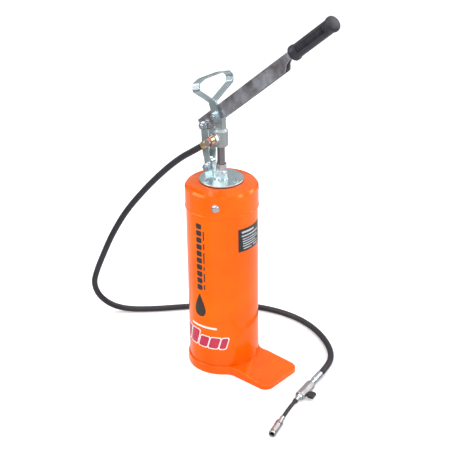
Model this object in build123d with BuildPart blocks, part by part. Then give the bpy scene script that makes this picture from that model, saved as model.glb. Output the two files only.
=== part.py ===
"""Hand-operated gear oil pump: a foot-steadied tank with a lever pump in its lid and a delivery hose.

Origin: on the floor, on the tank's axis. +Z is up and +X points along the foot pedal and the lever.
Millimetres throughout.
"""
from build123d import *
from math import cos, pi, radians, sin, tan
import os

os.makedirs("parts", exist_ok=True)

# ---- Clearances ---------------------------------------------------------------------------------
running_gap = 0.05      # radial, between a turning or sliding pair
body_gap = 0.3          # between faces of pieces that move past each other
seat_gap = 0.02         # between fixed pieces that nest in each other

# ---- Tank, foot and cap -------------------------------------------------------------------------
tank_radius = 70.0
tank_wall = 1.5
tank_floor_z = 8.0
bottom_dish_rise = 2.0
bottom_rim_width = 20.0
tank_rim_z = 384.0
foot_height = 18.0
foot_wall = 2.0
foot_radius = tank_radius + 3.0
pedal_reach = 152.0
pedal_half_width = 53.0
pedal_root_half_width = 45.0
pedal_tip_height = 8.0
pedal_slope_start = tank_radius + 6.0
pedal_corner = 18.0
pedal_root_fillet = 22.0
rib_margin = 12.0        # from a rib's end to the pedal's edge
rib_width = 5.0
rib_rise = 1.2
rib_stations = (26.0, 50.0)
cap_wall = 1.5
cap_skirt = 37.0
cap_shoulder_drop = 6.5
cap_shoulder_round = 3.5
cap_rise = 13.5         # the cap's top above the tank's rim
cap_bead = 0.8
cap_bead_height = 2.0
seal_height = 2.0
seal_width = 3.0
cap_screw_angles = (-60.0, 60.0, 180.0)
cap_screw_drop = 15.0
screw_radius = 2.5
screw_hole_radius = 2.6
cap_head_radius = 4.75
cap_head_height = 3.1
cap_head_edge = 2.0
cap_head_flat = 3.2
cap_screw_inside = 8.0  # from the tank's skin to the screw's inner end
cross_slot_width = 1.0
cross_slot_length = 4.5
cross_slot_depth = 1.6
small_nut_flats = 8.4
small_nut_height = 4.0
nut_stand_off = 0.6
plate_arc = (-24.0, 28.0)
plate_drop = 65.0       # the plate's top below the tank's rim
plate_height = 48.0
plate_thickness = 0.5

# ---- Pump in the lid ----------------------------------------------------------------------------
flange_radius = 43.5
flange_thickness = 3.0
gasket_thickness = 1.5
flange_screw_circle = 32.0
flange_screw_angles = (8.0, 128.0, 248.0)
flange_chamfer = 0.6
flange_head_radius = 4.6
flange_head_height = 3.2
flange_screw_inside = 9.0
rod_radius = 7.5
rod_bore = 3.0
rod_tail_step = 1.5     # in radius, where the rod screws into the piston
rod_top_step = 0.5      # in radius, where it screws into the head
rod_tail_length = 8.0
rod_top_length = 14.0
packing_wall = 2.5
packing_height = 8.0
packing_floor = 1.0
wiper_wall = 1.4
wiper_height = 3.0
cylinder_clear = 2.5    # between the rod and the cylinder's bore
cylinder_wall = 3.0
spigot_wall = 2.0
spigot_length = 19.0
spigot_socket = 16.0
cap_opening_clear = 3.0
gasket_clear = 2.0
gland_boss_step = 1.5
gland_boss_height = 3.0
gland_hex_height = 12.0
nut_wall = 2.0
nut_collar = 1.4
nut_collar_height = 1.5
nut_height = 15.0
cylinder_rise = 16.0    # the cylinder's foot above the tank's bottom
strainer_floor = 1.0
strainer_wall = 1.2
strainer_slot_height = 4.0
strainer_slot_width = 2.2
foot_valve_drop = 10.0
foot_valve_rise = 22.0
foot_valve_throat = 3.0
foot_valve_bore = 6.0
foot_seat_rise = 6.0
foot_seat_height = 2.2
foot_ball_rise = 4.2
valve_ball_radius = 5.0
ball_lift = 2.0
stop_pin_radius = 1.2
piston_rise = 60.0      # the piston's foot above the cylinder's foot
piston_length = 20.0
piston_clear = 0.6
piston_groove = 2.4
piston_groove_low = 4.0
piston_groove_high = 9.0
piston_throat = 2.4
piston_chamber = 4.8
piston_seat = 2.4
piston_seat_top = 4.4
piston_ball_rise = 6.2
piston_ball_radius = 4.0

# ---- Head, links and lever ----------------------------------------------------------------------
bolt_radius = 4.0
bolt_hex = 13.0
bolt_head_height = 5.3
bolt_chamfer = 0.7
bolt_tail = 2.0         # how far a bolt stands out of its nut
nut_thickness = 6.0
washer_thickness = 1.2
washer_radius = 8.0
head_washer_radius = 9.5
stroke_play = 2.4       # what the opened pivot gives up over the stroke
head_rise = 37.0        # the head's foot above the gland nut, the stroke and some room
head_height = 35.0      # up to its shoulder
head_pivot_rise = 64.0  # from its foot up to the lever's bolt
outlet_rise = 19.0      # from its foot up to the outlet
lever_angle = 40.2
pivot_spacing = 42.0
lug_pivot_x = -27.5
lug_pivot_rise = 18.0   # above the flange
lug_height = 35.0
lug_thickness = 10.0
lug_width = 19.0
lug_corner = 6.0
link_width = 15.0
link_thickness = 3.0
lever_width = 17.0
lever_wall = 2.2
lever_above = 16.0
lever_below = 11.0
lever_tail = 52.0
lever_body = 197.0
lever_heel = 6.0
lever_heel_rise = 5.0
lever_throat = 9.0
lever_throat_low = 2.0
lever_edge_round = 1.8
tang_half_width = 6.0
tang_start = 216.0
tang_end = 320.0
tang_low = 2.0
grip_start = 229.0
grip_end = 343.0
grip_rise = 8.0
grip_radius = 13.2
grip_collar_radius = 15.0
grip_collar_length = 7.0
grip_collar_cone = 6.0
grip_end_round = 3.0
head_radius = 14.0
head_shoulder = 4.0
head_foot_chamfer = 1.5
neck_half_width = 8.5
outlet_boss_radius = 9.5
outlet_thread = 6.6
outlet_thread_depth = 8.0
outlet_boss_reach = 17.0
adapter_hex = 19.0
adapter_length = 7.0
copper_washer = 1.5
eye_radius = 8.7
eye_width = 9.5
eye_bore = 5.6
banjo_shank = 5.0
banjo_head_flats = 12.0
banjo_head_height = 3.5
banjo_bore = 2.2
banjo_side_bore = 1.8
banjo_depth = 11.0
shank_clear = 0.2       # a washer's or bolt's loose hole round its shank
eye_stem_radius = 4.4
eye_stem_bore = 2.0
strap_width = 17.5
strap_thickness = 2.6
strap_bend = 4.0
strap_tab_drop = 12.0   # the tab's end below the head bolt
strap_turn_rise = 28.0
strap_lean = 17.6       # the handle leans back round its bolt
strap_loop = ((47.0, 22.0), (51.0, 34.0), (44.0, 43.0), (27.5, 46.0), (-1.0, 47.0), (-26.0, 47.5),
              (-42.0, 43.0), (-47.0, 30.0))     # across, and above the turn
ply_gap = 0.2           # between the two plies of the strap's clamped tab

# ---- Hoses and hand valve -----------------------------------------------------------------------
hose_radius = 6.2
whip_radius = 3.75
ferrule_wall = 1.25
valve_heading = -80.5
coupler_heading = -73.0
valve_width = 18.6      # across the flats of the eight-sided body
valve_rest = 0.3        # the valve's flat above the floor
valve_bore = 3.0
valve_shell = 6.6       # outside radius of the ferrule's neck
valve_chamfer = 1.0
ferrule_lip = 0.8
ferrule_cone = 1.5
chamber_clear = 1.0
seat_clear = 0.3        # the ball's seat rings stand off the ball by this much
seat_angle = 43.1
seat_outer_radius = 3.4
stem_radius = 3.2
stem_key_radius = 2.0
ball_radius = 6.0
ball_station = 75.0
ferrule_depth = 26.0
valve_start = 42.0
valve_end = 90.0
knob_length = 18.4
knob_foot_length = 11.0
knob_foot_height = 5.0
knob_height = 14.0
knob_corner = 3.0
knob_draw = 0.6
knob_gap = 1.2          # between the valve's flat and the knob
knob_web = 4.0          # of the knob above the stem's end
knob_screw_radius = 2.3
knob_screw_depth = 2.2
knob_screw_height = 1.5
knob_slot_width = 0.8
knob_width = 9.0
nipple_length = 17.0
nipple_hex = 12.4
nipple_hex_length = 6.0
nipple_radius = 5.4
nipple_neck = 4.4
nipple_shoulder = 5.0
nipple_lip = 4.0
nipple_bore = 2.0
nipple_socket = 10.05
collar_length = 6.0
collar_radius = 4.9
whip_ferrule_length = 9.0
whip_ferrule_radius = 5.1
line_bore = 1.8         # through the coupler's fittings
coupler_face = 5.0
coupler_radius = 7.4
coupler_cone = 3.0
coupler_neck = 5.9
coupler_neck_end = 24.0
seal_end = 36.0
seal_lip = 1.6
seal_bore = 1.5
seal_lip_radius = 3.4
jaw_radius = 5.8
jaw_end = 47.4
jaw_bevel = 1.2
jaw_slit = 0.6
sleeve_bore = 6.0
sleeve_radius = 7.2
sleeve_edge = 0.4
sleeve_lip = 2.0
sleeve_mouth_radius = 4.9
sleeve_start = 16.0
coupler_mouth = 49.0
jaw_start = 36.2
jaw_bore = 3.6

# ---- Derived places -----------------------------------------------------------------------------
cap_top_z = tank_rim_z + cap_rise
plate_top_z = tank_rim_z - plate_drop
plate_foot_z = plate_top_z - plate_height
packing_radius = rod_radius + packing_wall
cylinder_bore = rod_radius + cylinder_clear
cylinder_radius = cylinder_bore + cylinder_wall
spigot_radius = cylinder_radius + spigot_wall
gland_boss_radius = spigot_radius - gland_boss_step
gland_hex = 2 * gland_boss_radius
nut_hex = 2 * (rod_radius + nut_wall)
cylinder_foot_z = tank_floor_z + cylinder_rise
piston_foot_z = cylinder_foot_z + piston_rise
flange_foot_z = cap_top_z + gasket_thickness
flange_top_z = flange_foot_z + flange_thickness
hex_foot_z = flange_top_z + gland_boss_height
hex_top_z = hex_foot_z + gland_hex_height
nut_top_z = hex_top_z + nut_height
lug_pivot_z = flange_top_z + lug_pivot_rise
lug_top_z = flange_top_z + lug_height
head_foot_z = nut_top_z + head_rise
head_shoulder_z = head_foot_z + head_height
head_pivot_z = head_foot_z + head_pivot_rise
outlet_z = head_foot_z + outlet_rise
valve_line_z = valve_width / 2 + valve_rest
cap_rim_z = tank_rim_z - cap_skirt
cap_screw_z = tank_rim_z - cap_screw_drop
cap_radius = tank_radius + cap_wall + running_gap
lever_inner = lever_width / 2 - lever_wall
neck_half = lever_inner - body_gap
link_inner_y = lever_width / 2 + body_gap
link_outer_y = link_inner_y + link_thickness
tab_inner_y = lever_width / 2 + body_gap
tab_outer_y = tab_inner_y + 2 * strap_thickness + ply_gap
pin_hole = bolt_radius + running_gap
free_hole = bolt_radius + stroke_play + body_gap
cos_lever = cos(radians(lever_angle))
sin_lever = sin(radians(lever_angle))
lever_pivot = (-pivot_spacing * cos_lever, head_pivot_z - pivot_spacing * sin_lever)
link_run = (lever_pivot[0] - lug_pivot_x, lever_pivot[1] - lug_pivot_z)
link_length = (link_run[0] ** 2 + link_run[1] ** 2) ** 0.5

# ---- Planes -------------------------------------------------------------------------------------
side = Plane.XZ                                     # local x = X, local y = Z
lever_side = Plane(origin=(0, 0, head_pivot_z), x_dir=(cos_lever, 0, sin_lever), z_dir=(0, -1, 0))
lever_plan = Plane(origin=(0, 0, head_pivot_z), x_dir=(cos_lever, 0, sin_lever),
                   z_dir=(-sin_lever, 0, cos_lever))
link_side = Plane(origin=(lug_pivot_x, 0, lug_pivot_z), x_dir=(link_run[0], 0, link_run[1]),
                  z_dir=(0, -1, 0))
link_edge = Plane(origin=(lug_pivot_x, 0, lug_pivot_z), x_dir=(link_run[0], 0, link_run[1]),
                  z_dir=(link_run[1], 0, -link_run[0]))


def ring(inner, outer, low, high):
    """Outline of a ring that is turned about Z: radius across, height up."""
    return Polygon((inner, low), (outer, low), (outer, high), (inner, high), align=None)


def heading(degrees):
    """Unit vector on the floor, turned from +X."""
    return Vector(cos(radians(degrees)), sin(radians(degrees)), 0)


def across_y(x, z, y):
    """A plane that faces -Y at the height of a cross bolt."""
    return Plane(origin=(x, y, z), x_dir=(1, 0, 0), z_dir=(0, -1, 0))


def save(part, label):
    """Names a finished piece and writes it."""
    part.label = label
    export_step(part, f"parts/{label}.step")


# ================================ Foot and tank ==================================================
def foot_form(inset):
    """Solid form of the pressed foot: a round dish with a sloping pedal, drawn in by the inset."""
    radius = foot_radius - inset
    reach = pedal_reach - inset
    top = foot_height - inset
    tip = pedal_tip_height - inset
    with BuildPart() as form:
        with BuildSketch():
            Polygon((0, -pedal_root_half_width + inset), (reach, -pedal_half_width + inset),
                    (reach, pedal_half_width - inset), (0, pedal_root_half_width - inset), align=None)
            fillet(vertices().group_by(Axis.X)[-1], pedal_corner - inset)
            Circle(radius)
            inner_corners = vertices().filter_by(lambda v: 20 < v.X < foot_radius)
            fillet(inner_corners, pedal_root_fillet + inset)
        extrude(amount=top)
        with BuildSketch(side):
            Polygon((-radius - 1, 0), (reach + 1, 0), (reach + 1, tip), (reach, tip),
                    (pedal_slope_start, top), (-radius - 1, top), align=None)
        extrude(amount=2 * foot_radius, both=True, mode=Mode.INTERSECT)
    return form


slope = (foot_height - pedal_tip_height) / (pedal_reach - pedal_slope_start)
rib_top = Plane(origin=(pedal_slope_start, 0, foot_height), x_dir=(1, 0, -slope), z_dir=(slope, 0, 1))
with BuildPart() as foot_base:
    add(foot_form(0).part)
    fillet(foot_base.edges().filter_by(lambda e: e.center().Z > pedal_tip_height - 0.5
                                       and not e.is_interior), foot_wall)
    add(foot_form(foot_wall).part, mode=Mode.SUBTRACT)
    with BuildSketch(Plane.XY.offset(foot_height - 2 * foot_wall)):
        Circle(tank_radius + seat_gap)
    extrude(amount=3 * foot_wall, mode=Mode.SUBTRACT)
    for station in rib_stations:
        with BuildSketch(rib_top.offset(-foot_wall / 2)):
            with Locations((station, 0)):
                SlotOverall(2 * (pedal_half_width - rib_margin), rib_width, rotation=90)
        extrude(amount=foot_wall / 2 + rib_rise)
save(foot_base.part, "foot_base")

def cap_screw_line(angle):
    """Where a cap screw's hole crosses the tank wall, with its axis pointing outward."""
    return Location((0, 0, cap_screw_z), (0, 0, angle)) * Location((tank_radius, 0, 0), (0, 90, 0))


with BuildPart() as tank_shell:
    with BuildSketch(side):
        ring(tank_radius - tank_wall, tank_radius, tank_floor_z, tank_rim_z)
    revolve(axis=Axis.Z)
    for angle in cap_screw_angles:
        with Locations(cap_screw_line(angle)):
            Cylinder(screw_hole_radius, 2 * cap_screw_inside, mode=Mode.SUBTRACT)
save(tank_shell.part, "tank_shell")

bottom_edge = tank_radius - tank_wall - seat_gap
bottom_flat = tank_radius - bottom_rim_width
with BuildPart() as tank_bottom:
    with BuildSketch(side):
        Polygon((0, tank_floor_z + bottom_dish_rise), (bottom_flat, tank_floor_z), (bottom_edge, tank_floor_z),
                (bottom_edge, tank_floor_z + tank_wall), (bottom_flat, tank_floor_z + tank_wall),
                (0, tank_floor_z + tank_wall + bottom_dish_rise), align=None)
    revolve(axis=Axis.Z)
save(tank_bottom.part, "tank_bottom")

shoulder_z = cap_top_z - cap_shoulder_drop
cap_inner = tank_radius + running_gap
with BuildPart() as tank_cap:
    with BuildSketch(side):
        Polygon((spigot_radius + cap_opening_clear, cap_top_z), (flange_radius + body_gap, cap_top_z),
                (cap_radius - cap_shoulder_round, shoulder_z + cap_shoulder_round / 3),
                (cap_radius, shoulder_z - cap_shoulder_round),
                (cap_radius, cap_rim_z + cap_bead_height),
                (cap_radius + cap_bead, cap_rim_z + cap_bead_height / 2),
                (cap_radius + cap_bead, cap_rim_z),
                (cap_inner, cap_rim_z), (cap_inner, tank_rim_z + seal_height),
                (tank_radius - seal_width, tank_rim_z + seal_height), (flange_radius, cap_top_z - cap_wall),
                (spigot_radius + cap_opening_clear, cap_top_z - cap_wall), align=None)
    revolve(axis=Axis.Z)
    with BuildSketch(Plane.XY.offset(cap_top_z)):
        for angle in flange_screw_angles:
            with Locations(Location((0, 0, 0), (0, 0, angle)) * Location((flange_screw_circle, 0, 0))):
                Circle(screw_hole_radius)
    extrude(amount=-3 * cap_wall, mode=Mode.SUBTRACT)
    for angle in cap_screw_angles:
        with Locations(cap_screw_line(angle)):
            Cylinder(screw_hole_radius, 2 * cap_screw_inside, mode=Mode.SUBTRACT)
save(tank_cap.part, "tank_cap")

with BuildPart() as cap_seal:
    with BuildSketch(side):
        ring(tank_radius - seal_width, tank_radius - running_gap, tank_rim_z + seat_gap,
             tank_rim_z + seal_height - seat_gap)
    revolve(axis=Axis.Z)
save(cap_seal.part, "cap_seal")

with BuildPart() as cap_screws:
    for angle in cap_screw_angles:
        with BuildSketch(Plane(origin=(0, 0, cap_screw_z), x_dir=heading(angle), z_dir=(0, 0, 1))):
            Polygon((tank_radius - cap_screw_inside, 0), (tank_radius - cap_screw_inside, screw_radius),
                    (cap_radius + seat_gap, screw_radius), (cap_radius + seat_gap, cap_head_radius),
                    (cap_radius + cap_head_edge, cap_head_radius),
                    (cap_radius + cap_head_height, cap_head_flat), (cap_radius + cap_head_height, 0), align=None)
        revolve(axis=Axis((0, 0, cap_screw_z), heading(angle)))
    for angle in cap_screw_angles:
        outward = heading(angle)
        face = Plane(origin=outward * (cap_radius + cap_head_height) + Vector(0, 0, cap_screw_z), x_dir=(0, 0, 1),
                     z_dir=outward)
        with BuildSketch(face):
            Rectangle(cross_slot_length, cross_slot_width)
            Rectangle(cross_slot_width, cross_slot_length)
        extrude(amount=-cross_slot_depth, mode=Mode.SUBTRACT)
save(cap_screws.part, "cap_screws")

with BuildPart() as data_plate:
    with BuildSketch(Plane.XY.offset(plate_foot_z)):
        Circle(tank_radius + seat_gap + plate_thickness)
        Circle(tank_radius + seat_gap, mode=Mode.SUBTRACT)
    extrude(amount=plate_height)
    with BuildSketch(Plane.XY.offset(plate_foot_z)):
        far = 2 * tank_radius
        near_ray, far_ray = (heading(angle) * far for angle in plate_arc)
        Polygon((0, 0), (near_ray.X, near_ray.Y), (far_ray.X, far_ray.Y), align=None)
    extrude(amount=plate_height, mode=Mode.INTERSECT)
save(data_plate.part, "data_plate")

# ================================ Pump in the lid ================================================
screw_spots = [Location((0, 0, 0), (0, 0, angle)) * Location((flange_screw_circle, 0, 0))
               for angle in flange_screw_angles]
with BuildPart() as flange_gasket:
    with BuildSketch(Plane.XY.offset(cap_top_z)):
        Circle(flange_radius - body_gap)
        Circle(spigot_radius + gasket_clear, mode=Mode.SUBTRACT)
        with Locations(*screw_spots):
            Circle(screw_hole_radius, mode=Mode.SUBTRACT)
    extrude(amount=gasket_thickness)
save(flange_gasket.part, "flange_gasket")

with BuildPart() as pump_flange:
    with BuildSketch(Plane.XY.offset(flange_foot_z)):
        Circle(flange_radius)
        Circle(spigot_radius, mode=Mode.SUBTRACT)
        with Locations(*screw_spots):
            Circle(screw_hole_radius, mode=Mode.SUBTRACT)
    extrude(amount=flange_thickness)
    chamfer(pump_flange.edges().group_by(Axis.Z)[-1].sort_by(SortBy.LENGTH)[-1], flange_chamfer)
save(pump_flange.part, "pump_flange")

with BuildPart() as flange_screws:
    for spot in screw_spots:
        with BuildSketch(Plane.XY.offset(cap_top_z - flange_screw_inside) * spot):
            Circle(screw_radius)
        extrude(amount=flange_screw_inside + gasket_thickness + flange_thickness)
        with BuildSketch(Plane.XY.offset(flange_top_z) * spot):
            Circle(flange_head_radius)
        extrude(amount=flange_head_height, taper=12)
    for spot in screw_spots:
        with BuildSketch(Plane.XY.offset(flange_top_z + flange_head_height) * spot):
            Rectangle(cross_slot_length, cross_slot_width)
            Rectangle(cross_slot_width, cross_slot_length)
        extrude(amount=-cross_slot_depth, mode=Mode.SUBTRACT)
save(flange_screws.part, "flange_screws")

with BuildPart() as inner_nuts:
    for angle in cap_screw_angles:
        outward = heading(angle)
        face = Plane(origin=outward * (tank_radius - tank_wall - nut_stand_off) + Vector(0, 0, cap_screw_z),
                     x_dir=(0, 0, 1), z_dir=outward)
        with BuildSketch(face):
            RegularPolygon(small_nut_flats / 2, 6, major_radius=False)
            Circle(screw_radius + seat_gap, mode=Mode.SUBTRACT)
        extrude(amount=-small_nut_height)
    for spot in screw_spots:
        with BuildSketch(Plane.XY.offset(cap_top_z - cap_wall) * spot):
            RegularPolygon(small_nut_flats / 2, 6, major_radius=False)
            Circle(screw_radius + seat_gap, mode=Mode.SUBTRACT)
        extrude(amount=-small_nut_height)
save(inner_nuts.part, "inner_nuts")

with BuildPart() as pivot_lug:
    with BuildSketch(side):
        with Locations((lug_pivot_x, (flange_top_z + lug_top_z) / 2)):
            Rectangle(lug_width, lug_top_z - flange_top_z)
        fillet(vertices().group_by(Axis.Y)[-1], lug_corner)
        with Locations((lug_pivot_x, lug_pivot_z)):
            Circle(pin_hole, mode=Mode.SUBTRACT)
    extrude(amount=lug_thickness / 2, both=True)
save(pivot_lug.part, "pivot_lug")

gland_foot_z = flange_foot_z - spigot_length
socket_top_z = gland_foot_z + spigot_socket
packing_foot_z = flange_top_z + packing_floor
packing_top_z = packing_foot_z + packing_height
wiper_radius = rod_radius + wiper_wall
with BuildPart() as gland_body:
    with BuildSketch(side):
        Polygon((rod_radius + body_gap, socket_top_z), (cylinder_radius + seat_gap, socket_top_z),
                (cylinder_radius + seat_gap, gland_foot_z), (spigot_radius - seat_gap, gland_foot_z),
                (spigot_radius - seat_gap, flange_top_z), (gland_boss_radius, flange_top_z),
                (gland_boss_radius, hex_foot_z), (packing_radius, hex_foot_z),
                (packing_radius, packing_foot_z), (rod_radius + body_gap, packing_foot_z), align=None)
    revolve(axis=Axis.Z)
    with BuildSketch(Plane.XY.offset(hex_foot_z)):
        RegularPolygon(gland_hex / 2, 6, major_radius=False)
        Circle(packing_radius, mode=Mode.SUBTRACT)
    extrude(amount=gland_hex_height)
save(gland_body.part, "gland_body")

with BuildPart() as rod_seals:
    with BuildSketch(side):
        ring(rod_radius + running_gap, packing_radius - seat_gap, packing_foot_z, packing_top_z)
        ring(rod_radius + running_gap, wiper_radius - seat_gap, nut_top_z - wiper_height, nut_top_z)
    revolve(axis=Axis.Z)
save(rod_seals.part, "rod_seals")

with BuildPart() as gland_nut:
    with BuildSketch(side):
        ring(rod_radius + body_gap, packing_radius - seat_gap, packing_top_z, hex_top_z)
        ring(rod_radius + body_gap, nut_hex / 2 + nut_collar, hex_top_z, hex_top_z + nut_collar_height)
    revolve(axis=Axis.Z)
    with BuildSketch(Plane.XY.offset(hex_top_z + nut_collar_height)):
        RegularPolygon(nut_hex / 2, 6, major_radius=False)
        Circle(rod_radius + body_gap, mode=Mode.SUBTRACT)
    extrude(amount=nut_height - nut_collar_height)
    with BuildSketch(Plane.XY.offset(nut_top_z)):
        Circle(wiper_radius)
    extrude(amount=-wiper_height, mode=Mode.SUBTRACT)
save(gland_nut.part, "gland_nut")

with BuildPart() as pump_cylinder:
    with BuildSketch(side):
        ring(cylinder_bore, cylinder_radius, cylinder_foot_z, socket_top_z)
    revolve(axis=Axis.Z)
save(pump_cylinder.part, "pump_cylinder")

seat_z = cylinder_foot_z + foot_seat_rise
foot_ball_z = seat_z + foot_ball_rise
valve_foot_z = cylinder_foot_z - foot_valve_drop
valve_top_z = cylinder_foot_z + foot_valve_rise
stop_pin_z = foot_ball_z + valve_ball_radius + ball_lift + stop_pin_radius + running_gap
with BuildPart() as foot_valve_body:
    with BuildSketch(side):
        Polygon((foot_valve_throat, valve_foot_z), (cylinder_radius, valve_foot_z),
                (cylinder_radius, cylinder_foot_z), (cylinder_bore - seat_gap, cylinder_foot_z),
                (cylinder_bore - seat_gap, valve_top_z), (foot_valve_bore, valve_top_z),
                (foot_valve_bore, seat_z + foot_seat_height), (foot_valve_throat, seat_z), align=None)
    revolve(axis=Axis.Z)
    with Locations(Location((0, 0, stop_pin_z), (0, 90, 0))):
        Cylinder(stop_pin_radius, 3 * cylinder_bore, mode=Mode.SUBTRACT)
save(foot_valve_body.part, "foot_valve_body")

with BuildPart() as foot_valve_ball:
    with Locations((0, 0, foot_ball_z)):
        Sphere(valve_ball_radius)
save(foot_valve_ball.part, "foot_valve_ball")

with BuildPart() as foot_stop_pin:
    with Locations(Location((0, 0, stop_pin_z), (0, 90, 0))):
        Cylinder(stop_pin_radius - seat_gap, 2 * (cylinder_bore - body_gap))
save(foot_stop_pin.part, "foot_stop_pin")

strainer_foot_z = valve_foot_z - strainer_floor
with BuildPart() as suction_strainer:
    with BuildSketch(side):
        ring(cylinder_radius + seat_gap, cylinder_radius + strainer_wall, strainer_foot_z,
             cylinder_foot_z - strainer_slot_width)
        ring(0, cylinder_radius + strainer_wall / 2, strainer_foot_z, valve_foot_z)
    revolve(axis=Axis.Z)
    with BuildSketch(Plane.XY.offset(valve_foot_z + strainer_floor)):
        with PolarLocations(cylinder_radius, 6):
            Rectangle(4 * strainer_wall, strainer_slot_width)
    extrude(amount=strainer_slot_height, mode=Mode.SUBTRACT)
save(suction_strainer.part, "suction_strainer")

# ================================ Rod, piston and head ===========================================
piston_top_z = piston_foot_z + piston_length
with BuildPart() as plunger_rod:
    with BuildSketch(side):
        ring(rod_bore, rod_radius, piston_top_z, head_foot_z)
        ring(rod_bore, rod_radius - rod_tail_step, piston_top_z - rod_tail_length, piston_top_z)
        ring(rod_bore, rod_radius - rod_top_step, head_foot_z, head_foot_z + rod_top_length)
    revolve(axis=Axis.Z)
save(plunger_rod.part, "plunger_rod")

piston_ball_z = piston_foot_z + piston_ball_rise
piston_radius = cylinder_bore - piston_clear
groove_radius = cylinder_bore - piston_groove
groove_low_z = piston_foot_z + piston_groove_low
groove_high_z = piston_foot_z + piston_groove_high
tail_radius = rod_radius - rod_tail_step + seat_gap
with BuildPart() as piston_body:
    with BuildSketch(side):
        Polygon((piston_throat, piston_foot_z), (piston_radius, piston_foot_z),
                (piston_radius, groove_low_z), (groove_radius, groove_low_z),
                (groove_radius, groove_high_z), (piston_radius, groove_high_z),
                (piston_radius, piston_top_z), (tail_radius, piston_top_z),
                (tail_radius, piston_top_z - rod_tail_length), (piston_chamber, piston_top_z - rod_tail_length),
                (piston_chamber, piston_foot_z + piston_seat_top), (piston_throat, piston_foot_z + piston_seat),
                align=None)
    revolve(axis=Axis.Z)
save(piston_body.part, "piston_body")

with BuildPart() as piston_seal:
    with BuildSketch(side):
        ring(groove_radius + seat_gap, cylinder_bore - running_gap, groove_low_z + seat_gap,
             groove_high_z - seat_gap)
    revolve(axis=Axis.Z)
save(piston_seal.part, "piston_seal")

with BuildPart() as piston_ball:
    with Locations((0, 0, piston_ball_z)):
        Sphere(piston_ball_radius)
save(piston_ball.part, "piston_ball")

adapter_face = outlet_boss_reach + adapter_length
eye_y = adapter_face + copper_washer + eye_width / 2
with BuildPart() as head_block:
    with BuildSketch(side):
        Polygon((0, head_foot_z), (head_radius - head_foot_chamfer, head_foot_z),
                (head_radius, head_foot_z + head_foot_chamfer), (head_radius, head_shoulder_z - head_shoulder),
                (head_radius - head_shoulder, head_shoulder_z), (0, head_shoulder_z), align=None)
    revolve(axis=Axis.Z)
    with BuildSketch(side):
        with Locations((0, (head_pivot_z + head_shoulder_z - head_shoulder) / 2)):
            Rectangle(2 * neck_half_width, head_pivot_z - head_shoulder_z + head_shoulder)
        with Locations((0, head_pivot_z)):
            Circle(neck_half_width)
    extrude(amount=neck_half, both=True)
    with BuildSketch(across_y(0, outlet_z, -head_radius / 2)):
        Circle(outlet_boss_radius)
    extrude(amount=outlet_boss_reach - head_radius / 2)
    with BuildSketch(Plane.XY.offset(head_foot_z)):
        Circle(rod_radius - rod_top_step + seat_gap)
    extrude(amount=rod_top_length + seat_gap, mode=Mode.SUBTRACT)
    with BuildSketch(Plane.XY.offset(head_foot_z)):
        Circle(rod_bore)
    extrude(amount=outlet_z - head_foot_z + rod_bore, mode=Mode.SUBTRACT)
    with BuildSketch(across_y(0, outlet_z, -outlet_boss_reach)):
        Circle(rod_bore)
    extrude(amount=-outlet_boss_reach, mode=Mode.SUBTRACT)
    with BuildSketch(across_y(0, outlet_z, -outlet_boss_reach)):
        Circle(outlet_thread)
    extrude(amount=-outlet_thread_depth, mode=Mode.SUBTRACT)
    with BuildSketch(across_y(0, head_pivot_z, 0)):
        Circle(bolt_radius + seat_gap)
    extrude(amount=2 * lever_width, both=True, mode=Mode.SUBTRACT)
save(head_block.part, "head_block")

with BuildPart() as outlet_adapter:
    with BuildSketch(across_y(0, outlet_z, -outlet_boss_reach)):
        RegularPolygon(adapter_hex / 2, 6, major_radius=False)
    extrude(amount=adapter_length)
    with BuildSketch(across_y(0, outlet_z, -outlet_boss_reach)):
        Circle(outlet_thread - seat_gap)
    extrude(amount=-outlet_thread_depth + running_gap)
    with BuildSketch(across_y(0, outlet_z, -adapter_face)):
        Circle(banjo_shank + seat_gap)
    extrude(amount=-banjo_depth - 1, mode=Mode.SUBTRACT)
    with BuildSketch(across_y(0, outlet_z, -adapter_face)):
        Circle(rod_bore)
    extrude(amount=-adapter_face, mode=Mode.SUBTRACT)
save(outlet_adapter.part, "outlet_adapter")

with BuildPart() as banjo_washers:
    for face in (adapter_face, adapter_face + copper_washer + eye_width):
        with BuildSketch(across_y(0, outlet_z, -face)):
            Circle(eye_radius)
            Circle(banjo_shank + shank_clear, mode=Mode.SUBTRACT)
        extrude(amount=copper_washer)
save(banjo_washers.part, "banjo_washers")

bolt_face = adapter_face + 2 * copper_washer + eye_width
with BuildPart() as banjo_bolt:
    with BuildSketch(across_y(0, outlet_z, -bolt_face)):
        RegularPolygon(banjo_head_flats / 2, 6, major_radius=False)
    extrude(amount=banjo_head_height)
    with BuildSketch(across_y(0, outlet_z, -bolt_face)):
        Circle(banjo_shank)
    extrude(amount=-bolt_face + adapter_face - banjo_depth)
    with BuildSketch(across_y(0, outlet_z, -bolt_face + eye_width / 2)):
        Circle(banjo_bore)
    extrude(amount=-bolt_face, mode=Mode.SUBTRACT)
    with Locations(Location((0, -eye_y, outlet_z))):
        Cylinder(banjo_side_bore, 3 * banjo_shank, mode=Mode.SUBTRACT)
    with Locations(Location((0, -eye_y, outlet_z), (0, 90, 0))):
        Cylinder(banjo_side_bore, 3 * banjo_shank, mode=Mode.SUBTRACT)
save(banjo_bolt.part, "banjo_bolt")

hose_dir = Vector(-0.81, 0, -0.586).normalized()
eye_centre = Vector(0, -eye_y, outlet_z)
stem_reach = 10.5
sleeve_reach = 24.0
sleeve_floor = 1.55     # thickness of the ferrule's end, which the hose butts against
hose_start = eye_centre + hose_dir * (stem_reach + sleeve_floor + running_gap)


def along(origin, direction):
    """A sketch plane with local x along a turned piece's axis."""
    axis = Vector(*direction)
    level = Vector(axis.Y, -axis.X, 0).normalized()
    return Plane(origin=origin, x_dir=axis, z_dir=level)


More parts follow.
